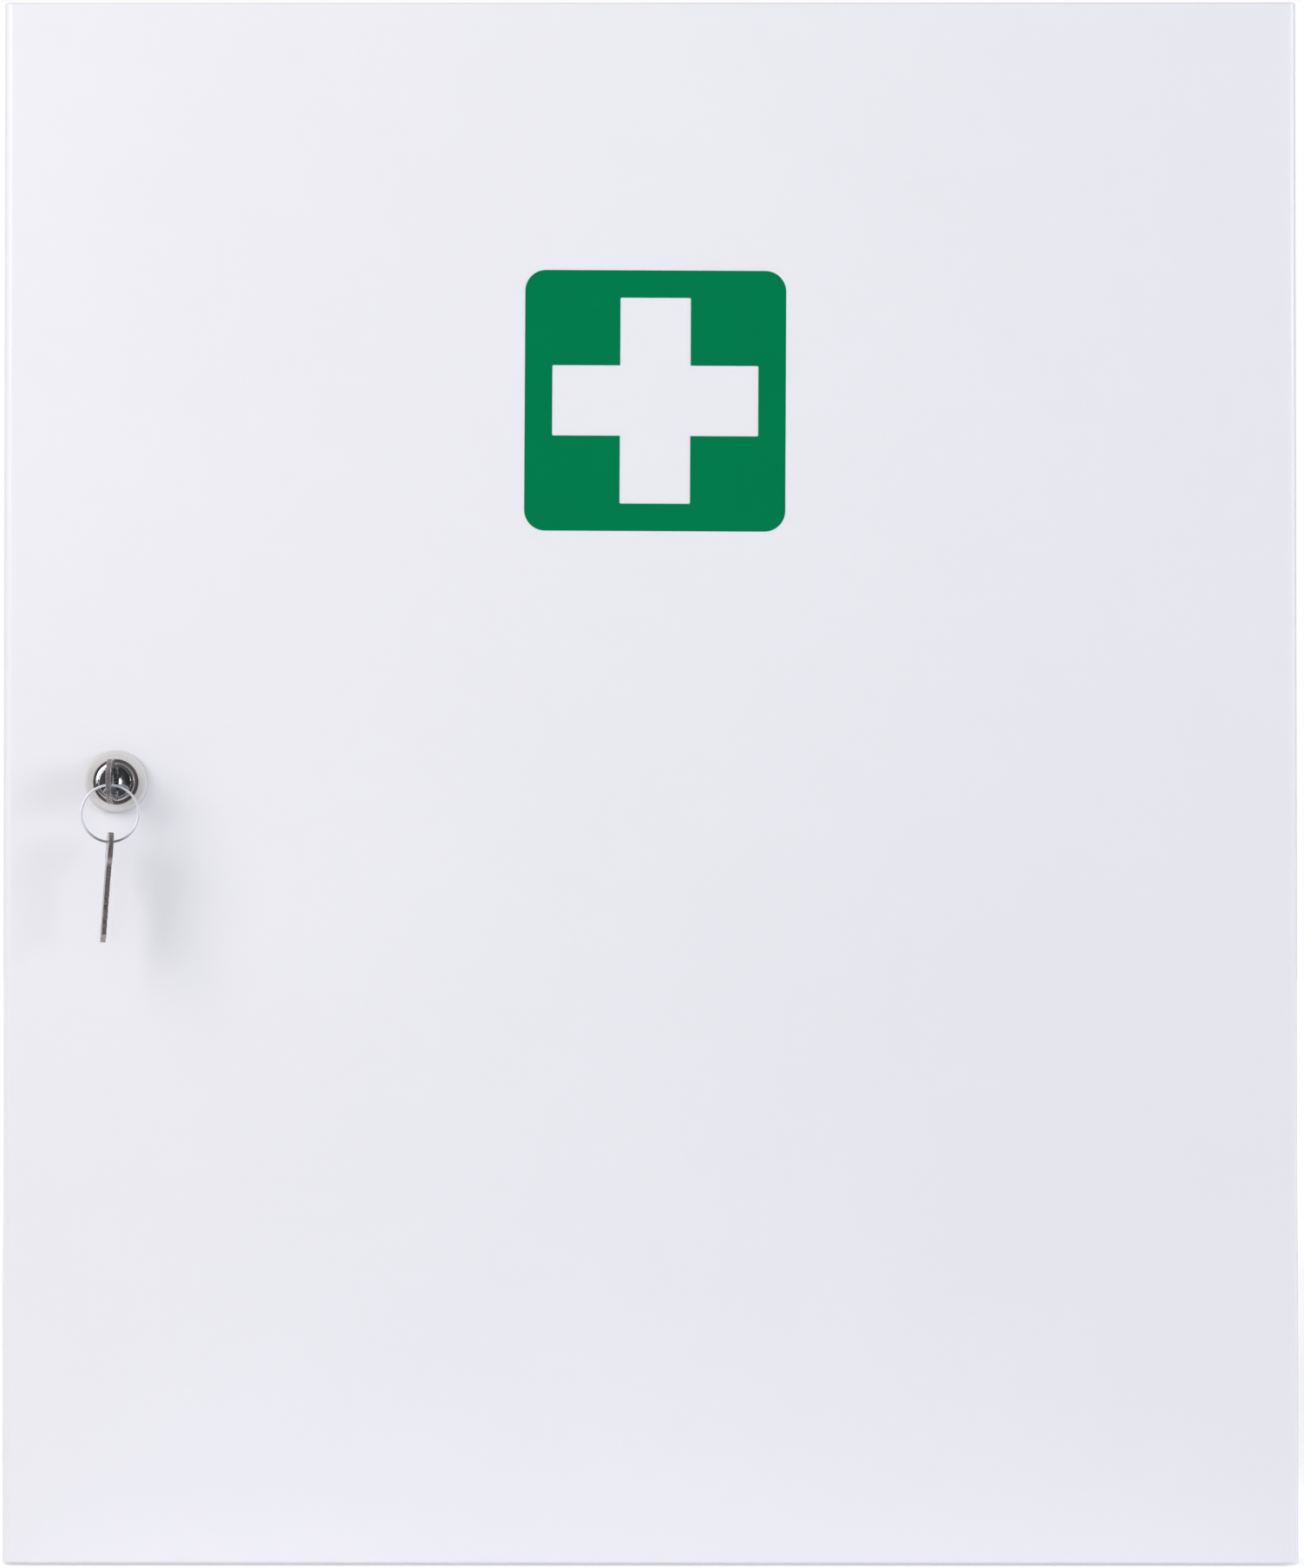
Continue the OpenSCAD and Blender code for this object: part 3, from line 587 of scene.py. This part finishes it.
def arc(centre_r, centre_y, radius, start, end, steps):
    """Points on an arc of a section, with its angles in degrees from outward towards +Y."""
    angles = [radians(start + (end - start) * i / steps) for i in range(steps + 1)]
    return [(centre_r + radius * cos(a), centre_y + radius * sin(a)) for a in angles]


# ---- Case and shelves ----


class CABINET_OT_case(bpy.types.Operator):
    """Make the case, its rear panel, the strike plate and the buffers"""

    bl_idname = "cabinet.case"
    bl_label = "Case"

    def execute(self, context):
        sheet = context.scene.cabinet_sheet
        dress("case_body", "case_shell", "powder_coat", "case", sheet.edge)
        dress("case_back", "rear_panel", "powder_coat", "case", sheet.edge)
        dress("strike_plate", "lock_strike", "zinc_plate", "case", sheet.fitting_edge)
        dress("rubber_buffers", "door_buffers", "rubber_black", "case", sheet.fitting_edge, 3)
        return {"FINISHED"}


class CABINET_OT_shelves(bpy.types.Operator):
    """Make the three shelves, their slotted uprights and their clips"""

    bl_idname = "cabinet.shelves"
    bl_label = "Shelves"

    def execute(self, context):
        sheet = context.scene.cabinet_sheet
        for level in ("upper", "middle", "lower"):
            dress(f"shelf_tray_{level}", f"shelf_{level}", "powder_coat", "case", sheet.edge)
        dress("slotted_uprights", "shelf_uprights", "zinc_plate", "case", sheet.fitting_edge)
        dress("hooked_clips", "shelf_clips", "zinc_plate", "case", sheet.fitting_edge)
        return {"FINISHED"}


# ---- Door ----

# A spot weld's rings from its middle outwards: shares of its radius and of its height
WELD_PROFILE = ((0.0, 0.25), (0.45, 0.3), (0.72, 1.0), (0.88, 0.85), (1.0, -0.4))
WELD_SIDES = 20

# The stiffener's foot and sheet, and how far below its end the first weld stands
STIFFENER_FOOT = 14 * MM
STIFFENER_SHEET = 0.8 * MM
FIRST_WELD = 18 * MM


def spot_weld(shape, centre, radius, height):
    """Adds one spot weld: a low rim round a shallow dimple."""
    last = None
    for reach, rise in WELD_PROFILE:
        y = centre.y + height * rise
        ring = circle(shape, centre, radius * reach, y, WELD_SIDES if reach else 1)
        if last:
            for i in range(WELD_SIDES):
                j = (i + 1) % WELD_SIDES
                if len(last) == 1:
                    shape.faces.new((last[0], ring[i], ring[j]))
                else:
                    shape.faces.new((last[i], ring[i], ring[j], last[j]))
        last = ring
    shape.faces.new(last)


class CABINET_OT_door(bpy.types.Operator):
    """Make the door's folded tray and its welded stiffener"""

    bl_idname = "cabinet.door"
    bl_label = "Door"

    def execute(self, context):
        sheet = context.scene.cabinet_sheet
        dress("door_tray", "door_panel", "powder_coat", "door", sheet.edge)
        dress("door_hat_section", "door_stiffener", "powder_coat", "door", sheet.edge * 0.8)
        self.weld(sheet)
        return {"FINISHED"}

    def weld(self, sheet):
        """Rows of spot welds down the stiffener's two feet."""
        shape = bmesh.new()
        face = STIFFENER_LOW.y + STIFFENER_SHEET
        top = STIFFENER_HIGH.z - FIRST_WELD
        for side in (-1, 1):
            x = side * (STIFFENER_HIGH.x - STIFFENER_FOOT / 2)
            for i in range(sheet.weld_count):
                z = top - 2 * top * i / (sheet.weld_count - 1)
                spot_weld(shape, Vector((x, face, z)), sheet.weld_d / 2, sheet.weld_h)
        piece("stiffener_welds", shape, "powder_coat", "door", [])


class CABINET_OT_label(bpy.types.Operator):
    """Make the green film label"""

    bl_idname = "cabinet.label"
    bl_label = "Label"

    def execute(self, context):
        edge = context.scene.cabinet_sheet.film_edge
        dress("first_aid_film", "first_aid_label", "label_green", "door", edge)
        return {"FINISHED"}


# ---- Hinges ----

# A rivet's sides and steps, the flat share of its crown, how deep its foot is sunk, and how far
# from the middle and below a bracket's end the rivets stand
RIVET_SIDES = 24
RIVET_STEPS = 5
RIVET_CROWN = 0.35
RIVET_SUNK = 0.2 * MM
RIVET_X = 241 * MM
RIVET_DROPS = (12 * MM, 24 * MM)


def rivet(shape, centre, radius, height):
    """Adds a domed rivet head that stands forwards of a plane across Y."""
    last = circle(shape, centre, radius, centre.y + RIVET_SUNK, RIVET_SIDES)
    shape.faces.new(last)
    for k in range(RIVET_STEPS):
        angle = pi / 2 * k / RIVET_STEPS
        reach = radius * (RIVET_CROWN + (1 - RIVET_CROWN) * cos(angle))
        ring = circle(shape, centre, reach, centre.y - height * sin(angle), RIVET_SIDES)
        bridge(shape, last, ring)
        last = ring
    tip = shape.verts.new((centre.x, centre.y - height, centre.z))
    for i in range(RIVET_SIDES):
        shape.faces.new((last[i], last[(i + 1) % RIVET_SIDES], tip))


class CABINET_OT_hinges(bpy.types.Operator):
    """Make the two concealed pin hinges with their brackets, bushes and rivets"""

    bl_idname = "cabinet.hinges"
    bl_label = "Hinges"

    def execute(self, context):
        sheet = context.scene.cabinet_sheet
        for end in ("top", "bottom"):
            edge = sheet.fitting_edge
            dress(f"pin_bracket_{end}", f"hinge_bracket_{end}", "zinc_plate", "case", edge)
            dress(f"pin_{end}", f"hinge_pin_{end}", "chrome_plate", "case", edge, 3)
            dress(f"bush_{end}", f"hinge_bush_{end}", "nylon_white", "door", edge * 0.6)
        self.fix(sheet)
        return {"FINISHED"}

    def fix(self, sheet):
        """Two rivets through the case's frame into each bracket's foot."""
        shape = bmesh.new()
        bracket_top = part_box("hinge_bracket_top")[1].z
        case_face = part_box("case_shell")[0].y
        for side in (-1, 1):
            for drop in RIVET_DROPS:
                centre = Vector((RIVET_X, case_face, side * (bracket_top - drop)))
                rivet(shape, centre, sheet.rivet_d / 2, sheet.rivet_h)
        piece("bracket_rivets", shape, "zinc_plate", "case", [])


# ---- Lock ----

# Radii of the edges of the lock's small pieces
WASHER_EDGE = 0.15 * MM
WAFER_EDGE = 0.08 * MM
DISC_EDGE = 0.2 * MM
SCREW_EDGE = 0.15 * MM


class CABINET_OT_lock(bpy.types.Operator):
    """Make the cam lock: trim ring, threaded housing, nut, plug, tumblers and cam"""

    bl_idname = "cabinet.lock"
    bl_label = "Lock"

    def execute(self, context):
        sheet, lock = context.scene.cabinet_sheet, context.scene.cabinet_lock
        self.trim()
        self.housing(lock)
        dress("washer_plate", "lock_washer", "zinc_plate", "door", WASHER_EDGE)
        dress("hexagon_nut", "lock_nut", "zinc_plate", "door", sheet.fitting_edge)
        self.plug(lock)
        dress("tumbler_wafers", "wafer_tumblers", "key_metal", "plug", WAFER_EDGE)
        dress("stamped_cam", "lock_cam", "zinc_plate", "plug", sheet.fitting_edge, 3)
        dress("cam_disc", "cam_washer", "zinc_plate", "plug", DISC_EDGE)
        dress("slotted_screw", "cam_screw", "zinc_plate", "plug", SCREW_EDGE)
        return {"FINISHED"}

    def trim(self):
        """The satin ring round the neck, rounded outside and eased at its bore."""
        face, front = TRIM_HIGH.y, TRIM_LOW.y
        outer = (TRIM_HIGH.x - TRIM_LOW.x) / 2
        bore, recess, recess_depth = 8.6 * MM, 10.27 * MM, 1.02 * MM
        shoulder, ease = 1.3 * MM, 0.3 * MM
        section = [(outer, face)]
        section += arc(outer - shoulder, front + shoulder, shoulder, 0, -90, 12)
        section += arc(bore + ease, front + ease, ease, -90, -180, 5)
        step = face - recess_depth
        section += [(bore, step), (recess, step), (recess, face)]
        shape = revolve(section, LOCK, 128)
        piece("trim_ring", shape, "trim_satin", "door", ["lock_trim_ring"])

    def housing(self, lock):
        """The flange, the polished neck and the barrel with its thread between two flats. The neck's
        rim slopes outwards by degrees, and below its polished part the casting is dull and darker,
        which paints in the shade of the gap round the neck."""
        neck_front, end = HOUSING_LOW.y, HOUSING_HIGH.y
        door_face, flange_front = DOOR_LOW.y, DOOR_LOW.y - 1 * MM
        neck, flange, barrel, bore = 7.3 * MM, 10.25 * MM, 8 * MM, 6.25 * MM
        flat, chamfer, polished = 7.2 * MM, 0.2 * MM, 0.9 * MM
        lip, slope = 0.12 * MM, 26
        section = arc(bore + lip, neck_front + lip, lip, -180, slope - 90, 4)
        inner, sloped_to = section[-1]
        sloped_to += (neck - inner - lip) * tan(radians(slope))
        section += arc(neck - lip, sloped_to + lip, lip, slope - 90, 0, 4)
        section += [(neck, flange_front), (flange - chamfer, flange_front)]
        section += [(flange, flange_front + chamfer), (flange, door_face), (barrel, door_face)]
        start = door_face + 1.2 * MM
        run_in, run_out = 0.6 * MM, 1.2 * MM
        tip, tip_length = 0.5 * MM, 0.8 * MM
        samples = 8
        steps = int((end - start) / lock.thread_pitch * samples)
        section += [(barrel, start + (end - start) * i / steps) for i in range(steps)]
        section += [(barrel - tip, end), (bore, end)]
        hair, margin = 0.01 * MM, 0.1 * MM

        def threaded(x, z, y):
            """A point of the barrel, sunk into the thread, the tapered tip and the two flats."""
            radius = hypot(x, z)
            if start + hair < y < end - hair and radius > neck:
                phase = (y - start) / lock.thread_pitch - atan2(z, x) / tau
                drop = lock.thread_depth * (0.5 - 0.5 * cos(tau * phase))
                lead = max(0.0, min(1.0, (end - y) / run_out, (y - start) / run_in))
                taper = tip * (1 - min(1.0, (end - y) / tip_length))
                scale = (radius - drop * lead - taper) / radius
                x, z = x * scale, z * scale
            if y > door_face - hair and bore + margin < radius < flange - margin:
                z = max(-flat, min(flat, z))
            return x, z

        shape = revolve(section, LOCK, 96, threaded)
        for face in shape.faces:
            # Faces behind the polished rim take the darker casting finish, which paints in the shade
            # of the gap round the neck
            face.material_index = int(face.calc_center_median().y > neck_front + polished)
        piece("threaded_housing", shape, "chrome_plate", "door", ["lock_housing"], ["casting_with_painted_shade"])

    def plug(self, lock):
        """The domed plug with its keyway, tumbler slots, square shank and screw hole."""
        radius = (PLUG_HIGH.x - PLUG_LOW.x) / 2
        rim, end = HOUSING_LOW.y, HOUSING_HIGH.y
        dome, dome_steps, edge = 42 * MM, 24, 0.25 * MM
        apex = rim - (dome - (dome**2 - radius**2) ** 0.5)
        section = [(0, apex)]
        for i in range(1, dome_steps + 1):
            reach = (radius - edge) * i / dome_steps
            section.append((reach, apex + dome - (dome**2 - reach**2) ** 0.5))
        section += [(radius - edge * 0.3, rim + edge * 0.2), (radius, rim + edge)]
        section += [(radius, end), (0, end)]
        shape = revolve(section, LOCK, 96, closed=False)
        shank, overlap = 3.5 * MM, 1 * MM
        square = self.about_axis(shank, end - overlap, PLUG_HIGH.y, shank)
        shape = combine(shape, square, "UNION")
        way_x, way_z = 1.15 * MM, 4.05 * MM
        way_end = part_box("key")[1].y + 0.25 * MM
        keyway = self.about_axis(way_x, apex - MM, way_end, way_z)
        shape = combine(shape, keyway, "DIFFERENCE")
        slots, slot_pitch, slot_length, slot_x = 5, 2.8 * MM, 1.1 * MM, 3.1 * MM
        first_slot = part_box("wafer_tumblers")[0].y - 0.1 * MM
        for i in range(slots):
            start = first_slot + slot_pitch * i
            slot = self.about_axis(slot_x, start, start + slot_length, radius + MM)
            shape = combine(shape, slot, "DIFFERENCE")
        hole, hole_start, hole_end = 2.02 * MM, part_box("cam_screw")[0].y, PLUG_HIGH.y + MM
        section = [(0, hole_start), (hole, hole_start), (hole, hole_end), (0, hole_end)]
        shape = combine(shape, revolve(section, LOCK, 48, closed=False), "DIFFERENCE")
        roll_edges(shape, lock.plug_edge)
        piece("keyed_plug", shape, "chrome_plate", "plug", ["lock_plug"])

    def about_axis(self, half_width, front, back, half_height):
        """A box about the lock's axis."""
        low = (LOCK.x - half_width, front, LOCK.z - half_height)
        high = (LOCK.x + half_width, back, LOCK.z + half_height)
        return block(low, high)


# ---- Keys ----


class CABINET_OT_keys(bpy.types.Operator):
    """Make the key in the lock, the split ring and the spare key"""

    bl_idname = "cabinet.keys"
    bl_label = "Keys"

    def execute(self, context):
        lock = context.scene.cabinet_lock
        self.key("lock_key", "key", "key", lock)
        self.key("hanging_key", "spare_key", "spare", lock)
        self.ring(lock)
        return {"FINISHED"}

    def key(self, name, node, body, lock):
        """A key with polished flats, tumbled corners and milled edges."""
        least_flat = 0.35
        shape = solid_of(node)
        flat = max(shape.faces, key=lambda face: face.calc_area()).normal.copy()
        roll_edges(shape, lock.key_edge, 3)
        for face in shape.faces:
            face.normal_update()
            face.material_index = 0 if abs(face.normal.dot(flat)) > least_flat else 1
        piece(name, shape, "key_metal", body, [node], ["key_cut"])

    def ring(self, lock):
        """Two coils of flattened wire that step past each other where the ends lie."""
        centre = (RING_LOW + RING_HIGH) / 2
        thickness = RING_HIGH.y - RING_LOW.y
        outer = (RING_HIGH.x - RING_LOW.x) / 2
        radius = outer - lock.wire_w / 2
        coil = (thickness - lock.coil_gap) / 2
        wire_sides = 16
        corners = [tau * i / wire_sides for i in range(wire_sides)]
        outline = [(lock.wire_w / 2 * cos(a), coil / 2 * sin(a)) for a in corners]
        turns, steps, begin = 1.97, 394, radians(95.4)
        crossed, crossing = 0.97, 0.06
        end_size, end_growth = 0.55, 0.15
        shape = bmesh.new()
        rings = []
        for step in range(steps + 1):
            turn = turns * step / steps
            along = max(0.0, min(1.0, (turn - (crossed - crossing)) / crossing))
            shift = along * along * (3 - 2 * along) - 0.5
            y = centre.y + shift * (coil + lock.coil_gap)
            angle = begin + tau * turn
            taper = min(1.0, end_size + end_growth * min(step, steps - step))
            out = Vector((cos(angle), 0, sin(angle)))
            middle = Vector((centre.x, y, centre.z)) + out * radius
            rings.append([
                shape.verts.new(middle + out * u * taper + Vector((0, v * taper, 0)))
                for u, v in outline
            ])
        for near, far in zip(rings, rings[1:]):
            bridge(shape, near, far)
        shape.faces.new(rings[0])
        shape.faces.new(rings[-1])
        made = piece("split_ring", shape, "spring_wire", "ring", ["key_ring"])


# ---- Stage ----


def lamp(name, place, target, size, watts, tint=(1, 1, 1)):
    """A rectangular softbox that faces its target and isn't seen itself."""
    light = bpy.data.lights.new(name, "AREA")
    light.shape = "RECTANGLE"
    light.size, light.size_y = size
    light.energy = watts
    light.color = tint
    made = bpy.data.objects.new(name, light)
    bpy.context.scene.collection.objects.link(made)
    made.location = place
    made.rotation_euler = (Vector(target) - Vector(place)).to_track_quat("-Z", "Y").to_euler()
    made.visible_camera = False
    return made


class CABINET_OT_stage(bpy.types.Operator):
    """Make the floor, the studio light and the camera"""

    bl_idname = "cabinet.stage"
    bl_label = "Stage"

    def execute(self, context):
        stage = context.scene.cabinet_stage
        self.floor(stage)
        self.surroundings(stage)
        self.lamps(stage)
        self.camera(stage)
        context.scene.view_settings.view_transform = "Standard"
        return {"FINISHED"}

    def floor(self, stage):
        """A wide disc under the case that looks white and keeps the cabinet's shadow. Its part
        ahead of the door is dark in gloss."""
        reach, dark = 6, (0.06, 0.06, 0.065)
        shape = bmesh.new()
        bmesh.ops.create_circle(shape, cap_ends=True, segments=96, radius=reach)
        mesh = bpy.data.meshes.new("floor")
        shape.to_mesh(mesh)
        shape.free()
        floor = bpy.data.objects.new("floor", mesh)
        floor.location.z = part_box("case_shell")[0].z
        bpy.context.scene.collection.objects.link(floor)
        made = Finish("floor", stage.floor, 0.9)
        made.set("Specular IOR Level", 0.1)
        path = made.node("LightPath").outputs
        pale = made.mix(made.noise(0.4), tinted(stage.floor, 0.985), stage.floor)
        depth = made.node("SeparateXYZ", Vector=made.place).outputs["Y"]
        ahead = made.spread(depth, 1, 0, -0.6, -0.3)
        hidden = made.math("MULTIPLY", ahead, path["Is Glossy Ray"])
        made.set("Base Color", made.mix(hidden, pale, dark))
        made.set("Emission Color", (1, 1, 1, 1))
        seen = made.math("MAXIMUM", path["Is Camera Ray"], path["Is Transmission Ray"])
        shown = made.math("SUBTRACT", 1.0, hidden)
        mirrored = made.math("MULTIPLY", path["Is Glossy Ray"], shown)
        distance = made.node("VectorMath", Vector=made.place)
        distance.operation = "LENGTH"
        glow = made.spread(distance.outputs["Value"], stage.lift, 1, 0.9, 2.2)
        lit = made.math("MAXIMUM", seen, mirrored)
        made.set("Emission Strength", made.math("MULTIPLY", lit, glow))
        mesh.materials.append(made.material)

    def surroundings(self, stage):
        """Soft light from all round, most of it from ahead of the door, and white to the eye.
        Gloss shows a dim room instead, bright only at the left."""
        world = bpy.data.worlds.new("studio")
        bpy.context.scene.world = world
        world.use_nodes = True
        room = Tree(world.node_tree)
        background = room.tree.nodes["Background"]
        background.inputs["Color"].default_value = (1, 1, 1, 1)
        path = room.node("LightPath").outputs
        place = room.node("TexCoord").outputs["Generated"]
        facing = room.node("VectorMath", Vector=place)
        facing.operation = "DOT_PRODUCT"
        facing.inputs[1].default_value = (0, -1, 0)

        def by_direction(*stops):
            """Levels of light at given cosines to the door's own direction."""
            ramp = room.node("ValToRGB")
            room.feed(ramp.inputs[0], room.spread(facing.outputs["Value"], 0, 1, -1, 1))
            elements = ramp.color_ramp.elements
            while len(elements) < len(stops):
                elements.new(0.5)
            for element, (cosine, level) in zip(elements, stops):
                element.position = (cosine + 1) / 2
                element.color = (level, level, level, 1)
            return ramp.outputs[0]

        sides = ((-0.4, stage.fill), (0.4, stage.fill))
        soft = by_direction((-1, 0.5), *sides, (0.9, stage.front_fill))
        sides = ((-0.2, stage.mirrored), (0.6, stage.mirrored))
        gloss = by_direction((-1, 0.3), (-0.6, 0.5), *sides, (0.75, 0.35), (0.9, 0.08))
        aside = room.node("SeparateXYZ", Vector=place).outputs["X"]
        dimmed = room.spread(aside, 1, 0.27, -0.45, 0.1)
        gloss = room.math("MULTIPLY", gloss, dimmed)
        level = room.blend(path["Is Glossy Ray"], soft, gloss)
        seen = room.math("MAXIMUM", path["Is Camera Ray"], path["Is Transmission Ray"])
        room.feed(background.inputs["Strength"], room.blend(seen, level, 1))

    def lamps(self, stage):
        """A large softbox at the left, a weaker one and a far cool one at the right, which gloss
        doesn't show, and two small ones by the camera for the lock's polished face."""
        warm, cool = (1.0, 0.985, 0.96), (0.8, 0.87, 1.0)

        def beside(degrees, distance, height):
            """A place at that angle from straight ahead of the door, to the right if above 0."""
            angle = radians(degrees)
            return (distance * sin(angle), DOOR_LOW.y - distance * cos(angle), height)

        door = (0, DOOR_LOW.y, 0)
        lamp("softbox_left", beside(-54, 2, 1.05), door, (0.93, 1.86), stage.key_power, warm)
        lamp("softbox_right", beside(82, 3.2, 0.75), door, (0.8, 1.0), stage.side_power)
        far = beside(56, 4, 0.45)
        soft_only = lamp("softbox_cool", far, door, (1.3, 1.3), stage.cool_power, cool)
        soft_only.visible_glossy = False
        lock, near_camera = (LOCK.x, DOOR_LOW.y, 0), DOOR_LOW.y - 1.5
        lamp("catch_light", (-0.28, near_camera, 0.012), lock, (0.07, 0.14), 0.27)
        lamp("strip_light", (-0.36, near_camera, -0.02), lock, (0.02, 0.8), 0.15)

    def camera(self, stage):
        """A long lens near the middle of the door, tilted up by less than a degree."""
        aside, height = 3.54 * MM, -20.5 * MM
        tilt, roll = 0.742, 0.106
        data = bpy.data.cameras.new("camera")
        data.lens = stage.lens
        data.sensor_width = 36
        data.clip_end = 50
        made = bpy.data.objects.new("camera", data)
        bpy.context.scene.collection.objects.link(made)
        made.location = (aside, DOOR_LOW.y - stage.distance, height)
        made.rotation_euler = (radians(90 + tilt), 0, radians(roll))
        bpy.context.scene.camera = made


# ---- Panel and registration ----

STEPS = (
    CABINET_OT_stage,
    CABINET_OT_case,
    CABINET_OT_shelves,
    CABINET_OT_door,
    CABINET_OT_label,
    CABINET_OT_hinges,
    CABINET_OT_lock,
    CABINET_OT_keys,
)
SETTINGS = {
    "cabinet_finish": FinishSettings,
    "cabinet_sheet": SheetSettings,
    "cabinet_lock": LockSettings,
    "cabinet_stage": StageSettings,
}


class CABINET_PT_steps(bpy.types.Panel):
    """Lists the cabinet's steps and settings"""

    bl_idname = "CABINET_PT_steps"
    bl_label = "Medicine cabinet"
    bl_space_type = "VIEW_3D"
    bl_region_type = "UI"
    bl_category = "Cabinet"

    def draw(self, context):
        for step in STEPS:
            self.layout.operator(step.bl_idname)
        for name in SETTINGS:
            settings = getattr(context.scene, name)
            box = self.layout.box()
            for entry in type(settings).__annotations__:
                box.prop(settings, entry)


def register():
    for settings in SETTINGS.values():
        bpy.utils.register_class(settings)
    for name, settings in SETTINGS.items():
        setattr(bpy.types.Scene, name, PointerProperty(type=settings))
    for step in (*STEPS, CABINET_PT_steps):
        bpy.utils.register_class(step)


def unregister():
    for step in reversed((*STEPS, CABINET_PT_steps)):
        bpy.utils.unregister_class(step)
    for name in SETTINGS:
        delattr(bpy.types.Scene, name)
    for settings in reversed(tuple(SETTINGS.values())):
        bpy.utils.unregister_class(settings)


def main():
    """Registers the classes and makes every piece."""
    register()
    for step in STEPS:
        group, action = step.bl_idname.split(".")
        getattr(getattr(bpy.ops, group), action)()


if __name__ == "__main__":
    main()
